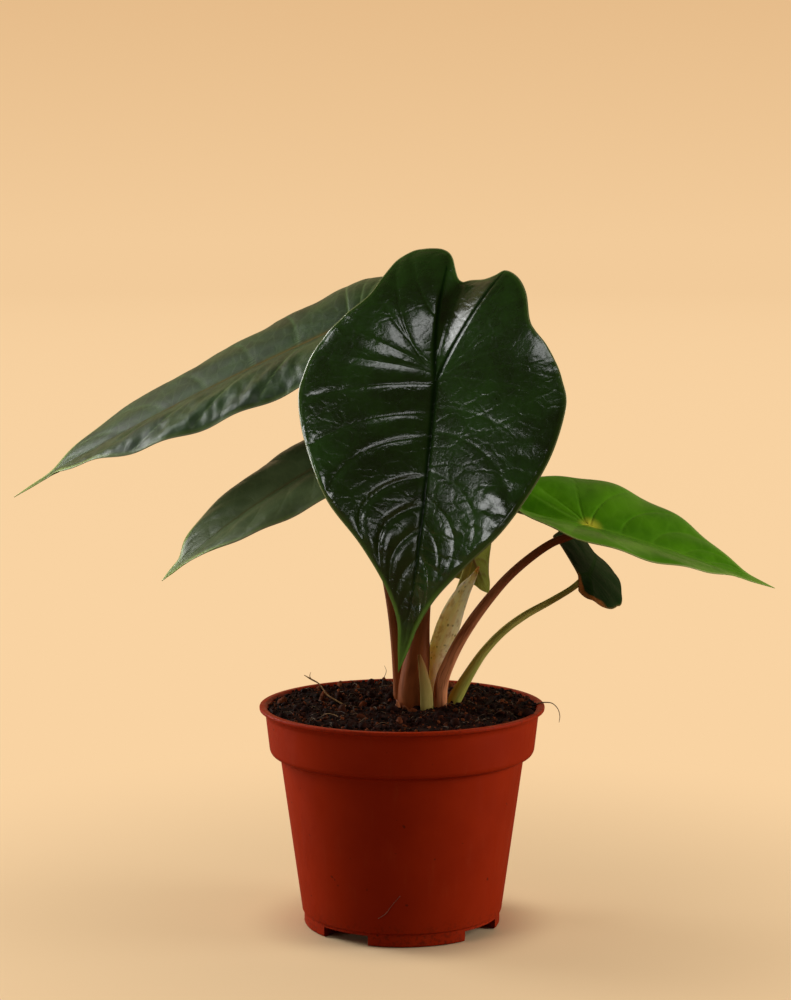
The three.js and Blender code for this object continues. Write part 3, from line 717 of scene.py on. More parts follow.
def lateral_lines(leaf):
    """The veins that arch from the ribs towards the margin, as lists of (x, s, half width)."""
    lines = []
    rho = np.linspace(0, 0.94, 60)
    for half, side in enumerate((1, -1)):
        edge = outer_edge(leaf, side)
        for place in leaf["laterals"]:
            start = leaf["length"] * (place + 0.012 * side)
            slant = 1.35 * smoothstep(place, 0.22, 0.8)
            arch = leaf["arch"] + 0.5 * smoothstep(place, 0, 0.27) * (1 - smoothstep(place, 0.3, 0.7))
            s = np.minimum(start + edge(start) * (slant * rho + arch * rho**2), 0.97 * leaf["length"])
            width = leaf["vein_width"] * (1 - 0.55 * rho) * (1 - 0.4 * place)
            lines.append(np.stack([side * rho * edge(s), s, width], 1))
        reach = half_outline(leaf, side, 400)[:, 1].min()
        for first, last, bow in leaf["back_laterals"]:
            root = back_rib(leaf, first * reach, half)
            x = root + (edge(last * reach) - root) * rho ** min(bow, 1)
            s = reach * (first + (last - first) * rho ** min(1 / bow, 1))
            lines.append(np.stack([side * x, s, leaf["vein_width"] * (0.9 - 0.5 * rho)], 1))
    return lines


def nearest_line(lines, flat):
    """Each flat point's distance to the nearest line, and the line's half width there."""
    samples = np.vstack([even_steps(line, int(2 + 3 * len(line))) for line in lines])
    tree = kdtree.KDTree(len(samples))
    for k, (x, s, _) in enumerate(samples):
        tree.insert((x, s, 0), k)
    tree.balance()
    found = [tree.find((x, s, 0)) for x, s in flat]
    return np.array([f[2] for f in found]), samples[[f[1] for f in found], 2]


def sheet_faces(count, rings):
    """Faces of rings of points round point 0."""
    k = np.arange(count)
    after = (k + 1) % count
    fan = [(0, 1 + a, 1 + b) for a, b in zip(k, after)]
    quads = []
    for row in range(rings - 1):
        low = 1 + row * count
        quads.append(np.stack([low + k, low + count + k, low + count + after, low + after], 1))
    return fan, np.vstack(quads)


def sheet_normals(points, fan, quads):
    normals = np.zeros_like(points)
    for faces in (np.array(fan), quads[:, :3], quads[:, [0, 2, 3]]):
        a, b, c = (points[faces[:, k]] for k in range(3))
        normal = np.cross(b - a, c - a)
        for k in range(3):
            np.add.at(normals, faces[:, k], normal)
    return unit(normals)


def bell(distance, width):
    return np.exp(-((distance / width) ** 2))


def blade_relief(leaf, flat, share, to_rib, to_vein, to_edge):
    """How far the blade swells and crinkles, and what is left of its relief towards the back lobes."""
    half = (flat[:, 0] < 0).astype(int)
    swell = (1 - bell(to_vein, leaf["seam"])) * (1 - bell(to_rib, 4)) * smoothstep(to_edge, 0, 6)
    crinkle = np.array([noise.noise(Vector((x / 11, s / 5, 2.3))) + 0.5 * noise.noise(
        Vector((x / 5, s / 3, 7.1))) for x, s in flat])
    crinkle *= smoothstep(share, *leaf["crinkled"]) * smoothstep(to_edge, 0, 3)
    low, high, quilt, pucker = (np.array(leaf[key])[half] for key in ("low", "high", "quilt", "pucker"))
    kept = low + (high - low) * smoothstep(flat[:, 1] / leaf["length"], 0, 0.4)
    return kept * (quilt * swell + pucker * crinkle), kept


# Half a blade's thickness at its margin, and how much more it is further in.
MARGIN_HALF = 0.13
BODY_HALF = 0.12


def make_blade(name, leaf, upper, lower):
    """A leaf blade as one closed thin body, with its veins sunk above and raised below."""
    sides = leaf["sides"]
    left = half_outline(leaf, -1, sides + 1)[::-1][1:-1]
    outline = np.vstack([half_outline(leaf, 1, sides + 1), left])
    count = len(outline)
    shares = np.append(np.linspace(0, 0.975, leaf["rings"] - 1)[1:], [0.99, 1.0])
    flat = np.vstack([np.zeros((1, 2)), *[share * outline for share in shares]])
    share = np.concatenate([[0], np.repeat(shares, count)])
    around = np.minimum(np.arange(count), count - np.arange(count)) / sides
    place = np.concatenate([[0], np.tile(around, len(shares))])
    wave = leaf["wave"] * np.sin(2 * math.pi * leaf["waves"] * place) * share**2.5
    sheet = blade_points(leaf, flat, wave * np.sin(math.pi * place))
    fan, quads = sheet_faces(count, len(shares))
    normals = sheet_normals(sheet, fan, quads)

    to_rib, rib_width = nearest_line(rib_lines(leaf), flat)
    to_vein, vein_width = nearest_line(lateral_lines(leaf), flat)
    to_edge, _ = nearest_line([np.column_stack([outline, 0 * outline[:, 0]])], flat)
    forward = flat[:, 1] / leaf["length"]
    # The drip tip is too narrow for relief: broad is 0 on it and 1 elsewhere.
    room = np.minimum(*(outer_edge(leaf, side)(flat[:, 1]) for side in (1, -1)))
    broad = np.where(flat[:, 1] > 0, smoothstep(room, 1, 5), 1)
    rib = broad * bell(to_rib, rib_width)
    vein = broad * bell(to_vein, vein_width) * smoothstep(to_edge, 0.3, 3)
    border = broad * bell(to_edge - 0.35, 0.4)
    half = MARGIN_HALF + BODY_HALF * broad * smoothstep(to_edge, 0, 4)
    relief, kept = blade_relief(leaf, flat, share, to_rib, to_vein, to_edge)
    relief -= leaf["rolled"] * (1 - smoothstep(to_edge, 0, 2.2)) * smoothstep(forward, 0, 0.25)
    relief *= broad
    sunk = leaf["groove"] * (kept * vein + 1.1 * rib * smoothstep(to_edge, 0, 9))
    raised = 0.45 * vein + rib_width * 1.1 * rib * smoothstep(to_edge, 0.2, 2)
    top = sheet + normals * (half + relief - sunk + 0.09 * border)[:, None]
    bottom = sheet - normals * (half - relief + raised + 0.06 * border)[:, None]

    total = len(sheet)
    rim = 1 + (len(shares) - 1) * count + np.arange(count)
    outward = unit(sheet[rim] - sheet[rim - count])
    nose = (top[rim] + bottom[rim]) / 2 + 0.14 * outward
    k = np.arange(count)
    after = (k + 1) % count
    nose_at = 2 * total + k
    upper_rim = np.stack([rim, nose_at, nose_at[after], rim[after]], 1)
    lower_rim = np.stack([nose_at, rim + total, rim[after] + total, nose_at[after]], 1)
    faces = [*fan, *quads.tolist(), *upper_rim.tolist(), *lower_rim.tolist()]
    under = [*[tuple(v + total for v in face[::-1]) for face in fan], *(quads[:, ::-1] + total).tolist()]
    slots = [0] * len(faces) + [1] * len(under)

    rim_green = smoothstep(forward, 0.55, 0.8) * (1 - smoothstep(to_edge, 0.4, 2))
    tip = np.maximum(0.75 * smoothstep(forward, 0.8, 1), rim_green)
    # The midrib's tone fades towards the tip: on the front leaf it is painted shade of the fold along the
    # midrib, on the others the midrib's own colour.
    rib_tone_and_shade = rib * (1 - 0.8 * smoothstep(forward, 0.5, 0.8))
    plain = np.zeros(count)
    places = np.column_stack([flat, np.zeros(total)])
    return make_piece(name, np.vstack([top, bottom, nose]), faces + under, [upper, lower], slots,
                      rib=np.concatenate([rib_tone_and_shade, rib_tone_and_shade, plain]),
                      vein=np.concatenate([vein, vein, plain]),
                      edge=np.concatenate([to_edge + 1 - broad] * 2 + [1 - broad[rim]]),
                      tip=np.concatenate([tip, tip, tip[rim]]),
                      flat=np.vstack([places, places, places[rim]]))


# Stems.

def stem_piece(name, points, faces, skin, sides, rise, run, bar):
    """A piece from a sweep, with grain that runs as on an upright round bar of radius bar."""
    angle = np.tile(ring_angles(sides), len(run))
    grain = np.stack([bar * np.cos(angle), bar * np.sin(angle), np.repeat(run, sides)], 1)
    return make_piece(name, points, faces, [skin],
                      rise=np.append(np.repeat(rise, sides), rise[[0, -1]]),
                      skin=np.vstack([grain, [[0, 0, 0], [0, 0, run[-1]]]]))


def make_stalk(name, leaf, skin):
    """A stalk from the crown up to the blade's underside, where it widens and is cut to the blade."""
    attach = np.array(leaf["attach"])
    centres, radius = route_curve([*leaf["stalk"]["route"], attach], leaf["stalk"]["radii"], 9)
    run = run_along(centres)
    radius = radius * (1 + 0.35 * np.exp(-(run[-1] - run) / 2.5))
    foot = np.exp(-run / 14)
    sides = 32

    def shape(angle, row):
        ridges = 0.035 * np.sin(5 * angle + 0.02 * run[row]) + 0.02 * np.sin(11 * angle)
        return 1 + ridges * (0.35 + foot[row])

    points, faces = sweep(centres, circle_offsets(radius, sides, shape))
    out = blade_axes(leaf, np.zeros(1))[2][0]
    over = (points - attach) @ out + 0.45
    near = np.linalg.norm(points - attach, axis=1) < 12
    points = points - np.where(near & (over > 0), over, 0)[:, None] * out
    return stem_piece(name, points, faces, skin, sides, smoothstep(run / run[-1], 0.05, 1), run, 2.5)


def make_shoot(skin):
    """The unopened leaf, rolled so that its outer margin shows as a winding step."""
    centres, radius = route_curve(SHOOT_ROUTE, SHOOT_RADII, 10)
    share = np.linspace(0, 1, len(centres))
    sides = 48

    def shape(angle, row):
        wound = ((angle - 2.2 - 2.4 * share[row]) / (2 * math.pi)) % 1
        return 0.97 + 0.06 * wound * smoothstep(share[row], 0.1, 0.4) + 0.01 * np.sin(7 * angle)

    points, faces = sweep(centres, circle_offsets(radius, sides, shape))
    return stem_piece("new_shoot_rolled", points, faces, skin, sides, share, SHOOT_LENGTH * share, 4)


def make_sheath(skin):
    """The thin leaf base that wraps the trunk's right side, with its edges turned in."""
    centres, half = route_curve(SHEATH_ROUTE, SHEATH_HALF_WIDTHS, 8)
    sides = 28
    angle = ring_angles(sides)
    rows = []
    for row in range(len(centres)):
        across = half[row] * np.cos(angle)
        deep = SHEATH_THICKNESS / 2 * np.sin(angle) * (half[row] / max(SHEATH_HALF_WIDTHS)) ** 0.5
        rows.append(np.stack([across, deep + 0.05 * across**2], 1))
    points, faces = sweep(centres, np.array(rows), across=(1, 0.25, 0))
    share = np.linspace(0, 1, len(centres))
    return stem_piece("sheath_strip", points, faces, skin, sides, share, SHEATH_LENGTH * share, 1.5)


# Pot.

def rounded(profile, steps=5):
    """Rounds the corners of a line of (radius, height, rounding) points."""
    line = []
    for k, (radius, height, rounding) in enumerate(profile):
        corner = np.array([radius, height], float)
        if rounding == 0 or k in (0, len(profile) - 1):
            line.append(corner)
            continue
        ends = []
        for other in (profile[k - 1], profile[k + 1]):
            leg = np.array(other[:2], float) - corner
            reach = min(rounding, 0.49 * np.linalg.norm(leg))
            ends.append(corner + unit(leg) * reach)
        for t in np.linspace(0, 1, steps):
            line.append((1 - t) ** 2 * ends[0] + 2 * t * (1 - t) * corner + t * t * ends[1])
    return np.array(line)


POT_PROFILE = [
    (0, 0, 0), (FOOT_RADIUS, 0, 0.9), (FOOT_RADIUS, FOOT_HEIGHT, 0.25),
    (BODY_BOTTOM_RADIUS, FOOT_HEIGHT + 0.4, 0.3), (BODY_TOP_RADIUS, BODY_TOP + 2.2, 0.5),
    (BODY_TOP_RADIUS + 1, BODY_TOP + 3, 0.5), (BAND_BOTTOM_RADIUS - 0.8, BAND_BOTTOM - 2.4, 0.7),
    (BAND_BOTTOM_RADIUS, BAND_BOTTOM - 1, 0.8), (BAND_TOP_RADIUS, POT_HEIGHT - LIP_HEIGHT - 1.2, 0.6),
    (BAND_TOP_RADIUS + 0.6, POT_HEIGHT - LIP_HEIGHT + 0.6, 0.3),
    (RIM_RADIUS - 0.1, POT_HEIGHT - 1.5, 0.3), (RIM_RADIUS, POT_HEIGHT - 0.1, 0.5),
    (BAND_TOP_RADIUS + 0.2, POT_HEIGHT, 0.5), (BAND_TOP_RADIUS - POT_WALL, POT_HEIGHT - 1, 0.4),
    (BAND_BOTTOM_RADIUS - POT_WALL, BAND_BOTTOM + 0.3, 1), (BODY_TOP_RADIUS + 0.9, BODY_TOP + 4.4, 1),
    (BODY_TOP_RADIUS - POT_WALL, BODY_TOP + 2.8, 0.8),
    (BODY_BOTTOM_RADIUS - POT_WALL, FOOT_HEIGHT + 0.9, 0.6),
    (FOOT_RADIUS - POT_WALL, POT_FLOOR, 0.8), (0, POT_FLOOR, 0),
]


def lathe(profile, sides):
    """A closed body turned from a profile that starts and ends on the axis."""
    angles = ring_angles(sides)
    points = [(0, 0, profile[0][1]), (0, 0, profile[-1][1])]
    inner = profile[1:-1]
    for radius, height in inner:
        points += ring(radius, height, angles)
    faces = []
    last = 2 + (len(inner) - 1) * sides
    for k in range(sides):
        after = (k + 1) % sides
        faces.append((0, 2 + after, 2 + k))
        faces.append((1, last + k, last + after))
        for row in range(len(inner) - 1):
            low = 2 + row * sides
            faces.append((low + k, low + after, low + after + sides, low + k + sides))
    return np.array(points), faces


def drum(radius, low, high, sides):
    return lathe(np.array([(0, low), (radius, low), (radius, high), (0, high)]), sides)


def box_piece(name, low, high, angle):
    corners = np.array([(x, y, z) for x in (low[0], high[0]) for y in (low[1], high[1])
                        for z in (low[2], high[2])], float)
    c, s = math.cos(angle), math.sin(angle)
    corners = corners @ np.array([[c, s, 0], [-s, c, 0], [0, 0, 1]])
    faces = [(0, 1, 3, 2), (4, 6, 7, 5), (0, 4, 5, 1), (2, 3, 7, 6), (0, 2, 6, 4), (1, 5, 7, 3)]
    return make_piece(name, corners, faces, [])


def boolean(target, tool, operation):
    """Joins tool to target or cuts it away, and removes tool."""
    fix_normals(tool)
    cut = target.modifiers.new("cut", "BOOLEAN")
    cut.operation = operation
    cut.solver = "EXACT"
    cut.object = tool
    bpy.context.view_layer.update()
    done = target.evaluated_get(bpy.context.evaluated_depsgraph_get())
    mesh = bpy.data.meshes.new_from_object(done)
    target.modifiers.clear()
    target.data = mesh
    bpy.data.objects.remove(tool)


def make_pot(plastic):
    pot = make_piece("pot_shell", *lathe(rounded(POT_PROFILE), 192), [plastic])
    fix_normals(pot)
    angles = [math.radians(FIRST_CHANNEL_ANGLE + k * 360 / CHANNELS) for k in range(CHANNELS)]
    half = CHANNEL_WIDTH / 2
    for angle in angles:
        roof = box_piece("roof", (CHANNEL_START - POT_WALL, -half - POT_WALL, 0.4),
                         (FOOT_RADIUS, half + POT_WALL, CHANNEL_HEIGHT + POT_WALL), angle)
        fix_normals(roof)
        reach = make_piece("reach", *drum(FOOT_RADIUS - 0.5, -1, 9, 96), [])
        boolean(roof, reach, "INTERSECT")
        boolean(pot, roof, "UNION")
    for angle in angles:
        channel = box_piece("channel", (CHANNEL_START, -half, -2), (RIM_RADIUS, half, CHANNEL_HEIGHT),
                            angle)
        boolean(pot, channel, "DIFFERENCE")
        points, faces = drum(DRAIN_RADIUS, -2, 9, 32)
        points += np.array([DRAIN_CIRCLE * math.cos(angle), DRAIN_CIRCLE * math.sin(angle), 0])
        boolean(pot, make_piece("drain", points, faces, []), "DIFFERENCE")
    pot.data.shade_smooth()
    pot.data.set_sharp_from_angle(angle=math.radians(38))
    return pot


# Soil.

# The lumps' sizes, heights and seeds. Their hollows lie LUMP_SINK lower than the mound.
LUMPS = [(6.5, 1.5, 3), (2.7, 0.9, 11), (1.25, 0.45, 23)]
LUMP_SINK = 1.5
EDGE_RISE = 2.2


def lump_noise(x, y, size, seed):
    """Rounded lumps, 0 to 1, about size across."""
    spot = noise.voronoi(Vector((x / size + seed, y / size, 0.37 * seed)))[0][0]
    return 1 - min(spot, 1) ** 2


def soil_height(x, y):
    share = min(math.hypot(x, y) / SOIL_RADIUS, 1)
    mound = SOIL_EDGE + EDGE_RISE + (SOIL_MOUND - EDGE_RISE) * (1 - share**1.6)
    roll = noise.noise(Vector((x * 0.06, y * 0.06, 4.1))) + noise.noise(Vector((x * 0.14, y * 0.14, 9)))
    crumbs = sum(height * lump_noise(x, y, size, seed) for size, height, seed in LUMPS)
    return mound - LUMP_SINK + 0.9 * roll + crumbs


def make_soil(earth):
    """One body of soil with a crumbly top, which fills the pot from the channels' roofs up."""
    sides, rings = 330, 150
    angles = ring_angles(sides)
    points = [(0, 0, soil_height(0, 0))]
    for share in np.linspace(0, 1, rings + 1)[1:]:
        points += [(x, y, soil_height(x, y)) for x, y, _ in ring(SOIL_RADIUS * share, 0, angles)]
    bottom = CHANNEL_HEIGHT + POT_WALL + GAP
    wall = [(SOIL_RADIUS, SOIL_EDGE - 6), (BAND_BOTTOM_RADIUS - POT_WALL - 1, BAND_BOTTOM + 1),
            (BODY_TOP_RADIUS - POT_WALL - GAP, BODY_TOP + 2.6),
            (BODY_BOTTOM_RADIUS - POT_WALL - GAP, FOOT_HEIGHT + 1.2),
            (FOOT_RADIUS - POT_WALL - 1, bottom)]
    for radius, height in wall:
        points += ring(radius, height, angles)
    fan, quads = sheet_faces(sides, rings + len(wall))
    closing = len(points)
    points.append((0, 0, bottom))
    low = closing - sides
    faces = [*fan, *quads.tolist()]
    faces += [(closing, low + (k + 1) % sides, low + k) for k in range(sides)]
    tint = [0.5 * noise.cell(Vector((x / 3, y / 3, 0))) for x, y, z in points]
    piece = make_piece("soil_bed", points, faces, [earth], tint=tint)
    fix_normals(piece)
    return piece


# Crumbs on the soil: how many, their least and greatest size, and how finely they are divided.
CRUMBS = [(110, 1.1, 1.9, 2), (900, 0.5, 1.1, 1), (2600, 0.2, 0.5, 1)]
CRUMB_SHAPES = 24


def lump(rng, subdivisions):
    """One irregular crumb about 2 across, as points and faces."""
    round_points, faces = ball(subdivisions)
    shift = Vector(rng.uniform(-50, 50, 3))
    stretch = rng.uniform(0.6, 1.3, 3)
    points = [np.array(p) * stretch * (1 + 0.45 * noise.noise(1.4 * p + shift)) for p in round_points]
    return np.array(points), faces


def turned(points, rng):
    """Points turned any way about the origin."""
    q, _ = np.linalg.qr(rng.normal(size=(3, 3)))
    return points @ q


def make_crumbs(earth):
    rng = np.random.default_rng(7)
    parts, tints = [], []
    for count, low, high, fineness in CRUMBS:
        shapes = [lump(rng, fineness) for _ in range(CRUMB_SHAPES)]
        for _ in range(count):
            radius = (SOIL_RADIUS + 1.2 - high / 2) * math.sqrt(rng.uniform())
            angle = rng.uniform(0, 2 * math.pi)
            x, y = radius * math.cos(angle), radius * math.sin(angle)
            size = rng.uniform(low, high)
            points, faces = shapes[rng.integers(len(shapes))]
            centre = np.array([x, y, soil_height(x, y) + 0.3 * size])
            parts.append((turned(points * size, rng) + centre, faces))
            tints.append(rng.uniform(0, 1) ** 1.5)
    return join_parts("soil_crumbs", parts, earth, tints)


def make_crown(skin):
    """The knobbly top of the rootstock, which mostly lies under crumbs."""
    round_points, faces = ball(5)
    points = []
    for p in round_points:
        p = p * (1 + 0.16 * noise.noise(2.5 * p) + 0.05 * noise.noise(9 * p))
        points.append([centre + reach * value for centre, reach, value in zip(
            CROWN_CENTRE, CROWN_REACH, p)])
    return make_piece("crown_body", points, faces, [skin])


# Papery remnants of old leaf bases at the trunk's foot: the angle round it in degrees, the height
# of the foot, the length, the half width and how far the top leans out.
SCALES = [(-150, 89.5, 6.5, 2.6, 1.6), (-118, 89, 5, 2.8, 1.2), (-92, 88.5, 4.2, 2.2, 0.8),
          (-175, 89, 4.5, 2, 1.0), (-132, 88.5, 3.2, 2, 2.4)]


def make_scales(skin):
    parts = []
    angle = ring_angles(20)
    for turned_by, foot, length, half_width, lean in SCALES:
        a = math.radians(turned_by)
        out = np.array([math.cos(a), math.sin(a), 0])
        run = np.linspace(0, 1, 10)
        radius = TRUNK_RADIUS + lean * run**2
        centres = (np.array([*TRUNK_CENTRE, 0]) + radius[:, None] * out
                   + (foot + length * run)[:, None] * UP)
        rows = []
        for t in run:
            across = half_width * (1 - 0.85 * t**2.5) * np.cos(angle)
            ragged = 0.25 * math.sin(9 * t + turned_by)
            rows.append(np.stack([across + ragged, 0.16 * np.sin(angle) - 0.06 * across**2], 1))
        parts.append(sweep(centres, np.array(rows), across=(-out[1], out[0], 0)))
    return join_parts("crown_scales", parts, skin, np.linspace(0, 1, len(parts)))


# Loose roots and hairs: (slot, tone, route, radii).
HAIRS = [
    ("soil", "pale", [(-19, -6, 89.5), (-21.2, -5.3, 91.3), (-23.9, -5.3, 93.3), (-27.4, -5.3, 95.4),
                      (-31.2, -5.3, 97.8), (-32.9, -5.3, 100), (-34.6, -5.3, 102.5),
                      (-38.1, -5.3, 104.6), (-41, -5.3, 106.3)],
     [0.4, 0.38, 0.34, 0.3, 0.3, 0.26, 0.26, 0.34, 0.12]),
    ("soil", "pale", [(-38.1, -5.3, 104.6), (-38.6, -5.6, 106), (-38.2, -5.8, 107.6)],
     [0.2, 0.16, 0.08]),
    ("soil", "dark", [(55, 0.8, 91.5), (57.8, 0.5, 93.2), (60.4, 0.4, 93.6), (63.2, 0.4, 93.2),
                      (65.6, 0.4, 90.9), (66.5, 0.4, 87.8), (66.2, 0.4, 85)],
     [0.26, 0.26, 0.24, 0.2, 0.18, 0.16, 0.1]),
    ("soil", "dark", [(-9, 41, 91), (-8.2, 41.2, 95.5), (-6.8, 41.5, 99.6), (-7.6, 41.5, 102)],
     [0.16, 0.14, 0.12, 0.07]),
    ("pot", "dusty", [(-9.9, -42.15, 12.4), (-6.9, -43.05, 14.6), (-4.5, -43.85, 18),
                      (-0.8, -44.75, 22.7)],
     [0.16, 0.2, 0.12, 0.14]),
    ("soil", "dark", [(37, -21, 92), (40, -23, 94.4), (44, -25, 94.6), (47, -28, 92.4)],
     [0.14, 0.14, 0.12, 0.08]),
    ("soil", "pale", [(-34, -24, 92), (-31, -26, 94), (-27, -28, 93.6), (-25, -31, 92.2)],
     [0.16, 0.16, 0.14, 0.08]),
]


def make_hair(name, route, radii, skin):
    centres, radius = route_curve(route, radii)
    points, faces = sweep(centres, circle_offsets(radius, 10), across=(0, 1, 0))
    return make_piece(name, points, faces, [skin])


FIBRES = 90
FIBRE_RADII = [0.06, 0.13, 0.14, 0.12, 0.05]


def make_fibres(skin):
    """Short curved threads that lie among the crumbs."""
    rng = np.random.default_rng(19)
    parts = []
    for _ in range(FIBRES):
        radius = (SOIL_RADIUS - 3) * math.sqrt(rng.uniform())
        angle, heading = rng.uniform(0, 2 * math.pi, 2)
        length = rng.uniform(3, 9)
        route = []
        for t in np.linspace(0, 1, len(FIBRE_RADII)):
            bent = heading + 1.2 * (t - 0.5) * rng.uniform(-1, 1)
            x = radius * math.cos(angle) + length * (t - 0.5) * math.cos(bent)
            y = radius * math.sin(angle) + length * (t - 0.5) * math.sin(bent)
            share = min(1, (SOIL_RADIUS - 1) / math.hypot(x, y))
            lift = 0.5 + 1.1 * math.sin(math.pi * t) * rng.uniform()
            route.append((x * share, y * share, soil_height(x * share, y * share) + lift))
        centres, width = route_curve(route, FIBRE_RADII, 5)
        parts.append(sweep(centres, circle_offsets(width, 6)))
    return join_parts("soil_fibres", parts, skin, np.zeros(len(parts)))


# Stage and lights.

BACKDROP = "f9d3a2"
HORIZON = "f2cb9a"
SKY = "e6bc8a"
LIGHTS = [
    # name, azimuth, elevation, distance in metres, width, height, watts
    ("key", -109, 33, 1.3, 0.56, 0.42, 3.2),
    ("high", -48, 45, 1.3, 0.2, 0.46, 1.1),
    ("side", -66, 5, 1.4, 0.34, 0.22, 1.3),
    ("low", -35, -3, 1.5, 0.36, 0.14, 0.6),
    ("right_softbox", 82, 12, 1.4, 0.6, 1.0, 12),
    ("left_softbox", -118, 14, 1.4, 0.6, 1.0, 11),
]
LIGHTS_AIM = Vector((0, 0, 0.15))


def make_lights():
    for name, azimuth, elevation, distance, width, height, watts in LIGHTS:
        data = bpy.data.lights.new(name, "AREA")
        data.shape = "RECTANGLE"
        data.size, data.size_y = width, height
        data.energy = watts
        lamp = bpy.data.objects.new(name, data)
        toward = direction(azimuth, elevation)
        lamp.location = LIGHTS_AIM + toward * distance
        lamp.rotation_euler = toward.to_track_quat("Z", "Y").to_euler()
        lamp.visible_camera = False
        bpy.context.scene.collection.objects.link(lamp)


def make_world():
    """Pale everywhere to the eye. As light, it is bright behind the plant and dim in front of it."""
    world = bpy.data.worlds.new("studio")
    world.use_nodes = True
    bpy.context.scene.world = world
    n = Nodes(world.node_tree)
    n.tree.nodes.clear()
    place = n.place("Generated")
    rise = n.spread(n.axis(place, "Z"), 0, 0.1, shape="LINEAR")
    seen = n.node("Background", 0, {"Color": n.mix(rise, colour(HORIZON), colour(SKY))})
    strength = n.spread(n.axis(place, "Y"), 0.1, 0.9, 0.07, 0.5)
    lit = n.node("Background", 0, {"Color": colour(BACKDROP), "Strength": strength})
    n.show(n.tree.nodes.new("ShaderNodeOutputWorld"), seen, lit)


def make_floor():
    """A pale floor that fades into the backdrop's tone with distance, and throws little light up."""
    p = Paint("floor_pale", roughness=0.8, specular=0.1)
    p.set("Base Color", colour("f6d9ae"))
    away = p.length(p.place())
    tone = p.mix(p.spread(away, 1, 12, shape="LINEAR"), colour(BACKDROP), colour(HORIZON))
    fade = p.math("ADD", p.spread(away, 0.036, 0.07, 0, 0.45), p.spread(away, 0.05, 0.35, 0, 0.55))
    glow = p.node("Emission", 0, {"Color": tone})
    pale = p.node("MixShader", 0, {0: fade, 1: p.shader.outputs[0], 2: glow})
    dull = p.node("BsdfDiffuse", 0, {"Color": colour("8a6f55")})
    p.show(p.tree.nodes["Material Output"], pale, dull)
    bpy.ops.mesh.primitive_circle_add(vertices=96, radius=40, fill_type="NGON",
                                      location=(0, 0, -0.0002))
    floor = bpy.context.object
    floor.name = "floor"
    floor.data.materials.append(p.material)


def make_camera():
    data = bpy.data.cameras.new("camera")
    data.sensor_width = SENSOR
    data.lens = FOCAL_PIXELS / PHOTO_HEIGHT * SENSOR
    data.clip_end = 100
    camera = bpy.data.objects.new("camera", data)
    camera.location = (CAMERA_SIDE, -CAMERA_DISTANCE, CAMERA_HEIGHT)
    camera.rotation_euler = (math.pi / 2 - CAMERA_PITCH, 0, 0)
    bpy.context.scene.collection.objects.link(camera)
    bpy.context.scene.camera = camera


# Building.

make_camera()
make_world()
make_lights()
make_floor()
bpy.context.scene.view_settings.view_transform = "Standard"

# The front leaf's near-black rib tone is painted shade of the fold along its midrib.
mature = leaf_upper("leaf_mature_upper", dark="1a340d", light="264c15", vein="305a1c", edge="84945c",
                    tip="78b040", rib="0c1a08", rib_mix=0.8, band=0.12, gloss=0.13)
mature_far = leaf_upper("leaf_long_upper", dark="203c16", light="325424", vein="7c9c60",
                        edge="8a9a70", tip="9ab850", rib="7c6a40", gloss=0.42, vein_mix=0.55,
                        rib_mix=0.8, band=0.2, shine=0.45, haze=0.25, net_depth=0.03)
mature_low = leaf_upper("leaf_left_upper", dark="4c5e38", light="62744a", vein="78885a",
                        edge="8a8a60", tip="9ab850", rib="665838", gloss=0.34, vein_mix=0.3,
                        rib_mix=0.6, band=0.2, shine=0.5, haze=0.2, net_depth=0.03)
mature_small = leaf_upper("leaf_right_upper", dark="10260a", light="183212", vein="1e3814",
                          edge="6a5a30", tip="2c4418", rib="34441e", gloss=0.45, shine=0.03,
                          scorch="9a5c28")
mature_under = leaf_lower("leaf_mature_under", base="46573a", light="5d6e4c", rib="6b6240",
                          edge="8b8b5c")
young = leaf_upper("leaf_young_upper", dark="4c8a0a", light="62a410", vein="80c030", edge="a8b868",
                   tip="8ab83c", rib="84b83c", gloss=0.3, band=0.15, shine=0.2, net_depth=0.015,
                   umbo="d8d840")
young_under = leaf_lower("leaf_young_under", base="7f9a48", light="93a85c", rib="a89a60",
                         edge="b4ac74")
olive = leaf_upper("leaf_back_upper", dark="66701e", light="7c8428", vein="8a8a3a", edge="a8a860",
                   tip="8a9a40", rib="6a4a20", gloss=0.3)
# The back leaf's underside tones are partly its own pale olive and partly painted light, lifted to stand
# in for light shining through the leaf from behind.
olive_under_painted_backlight = leaf_lower("leaf_back_under_painted_backlight", base="98a83c", light="a8b448", rib="8a6a34",
                         edge="b0a860")

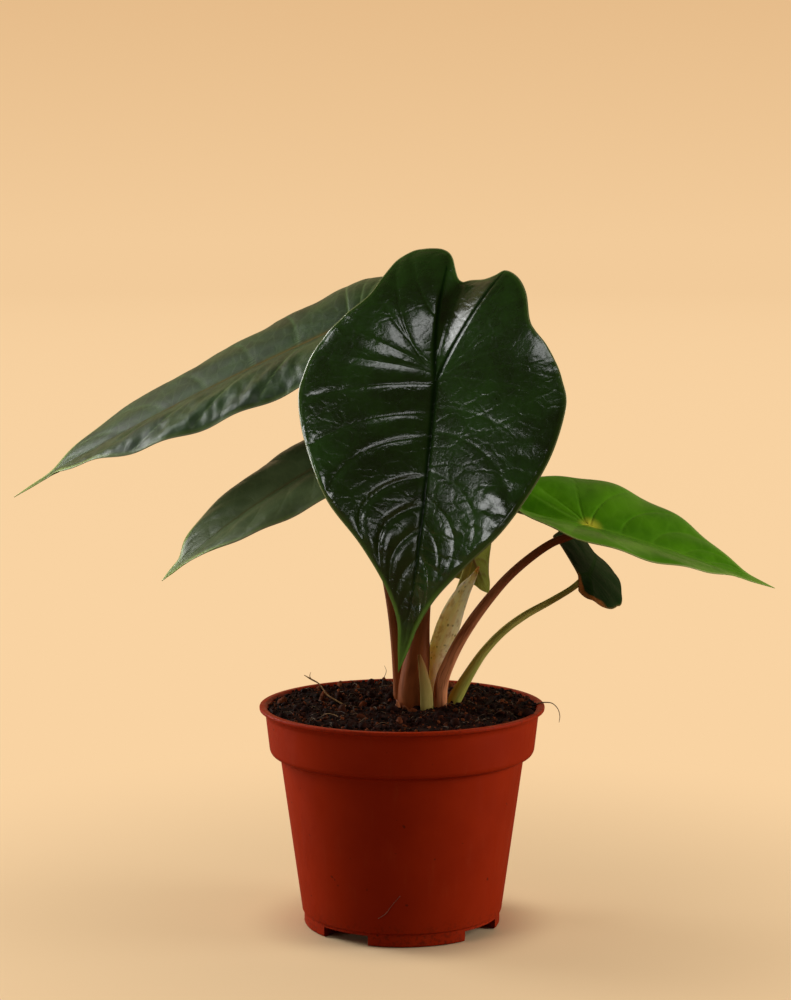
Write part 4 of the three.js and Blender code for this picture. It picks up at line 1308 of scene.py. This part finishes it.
brown_stalk = stalk_skin("stalk_brown", low="9a5228", high="7c4c26", streak="7a4422")
young_stalk = stalk_skin("stalk_young", low="f09c68", high="84442a", streak="964e2c")
green_stalk = stalk_skin("stalk_green", low="b8b050", high="dcd272", streak="949a40")

BLADES = {
    "front": (mature, mature_under, "leaf_mature", brown_stalk, "stalk_brown"),
    "long": (mature_far, mature_under, "leaf_mature", brown_stalk, "stalk_brown"),
    "left": (mature_low, mature_under, "leaf_mature", brown_stalk, "stalk_brown"),
    "young": (young, young_under, "leaf_young", young_stalk, "stalk_brown"),
    "right": (mature_small, mature_under, "leaf_mature", green_stalk, "stalk_green"),
    "back": (olive, olive_under_painted_backlight, "leaf_olive", green_stalk, "stalk_green"),
}

for name, traits in LEAVES.items():
    leaf = {**SPECIES, **traits}
    upper, lower, leaf_slot, skin, stalk_slot = BLADES[name]
    dress(make_blade(f"blade_{name}", leaf, upper, lower), leaf_slot, f"leaf_{name}")
    dress(make_stalk(f"petiole_{name}", leaf, skin), stalk_slot, f"stalk_{name}")

dress(make_shoot(shoot_skin_painted_light()), "shoot", "new_shoot")
sheath_skin = stalk_skin("sheath_skin", low="ccbe6c", high="9e602e", streak="a89450")
dress(make_sheath(sheath_skin), "sheath", "sheath")

dress(make_pot(pot_plastic()), "pot", "pot")
earth = soil_earth()
dress(make_soil(earth), "soil", "soil")
dress(make_crumbs(earth), "soil")
crown_skin = plain_skin("crown_skin", base="6e3f22", spot="341c10", roughness=0.7)
dress(make_crown(crown_skin), "crown", "crown")
scale_skin = plain_skin("scale_skin", base="c4703a", spot="6e3a1c", roughness=0.55)
dress(make_scales(scale_skin), "crown")
hair_skins = {tone: plain_skin(f"root_{tone}", base, spot, scale=500, depth=0.05)
              for tone, base, spot in (("pale", "c49a66", "8a5f36"), ("dark", "6a5034", "3c2a1a"),
                                       ("dusty", "a8604a", "8a4430"))}
for number, (slot, tone, route, radii) in enumerate(HAIRS):
    dress(make_hair(f"root_hair_{number}", route, radii, hair_skins[tone]), slot)
dress(make_fibres(hair_skins["dark"]), "soil")
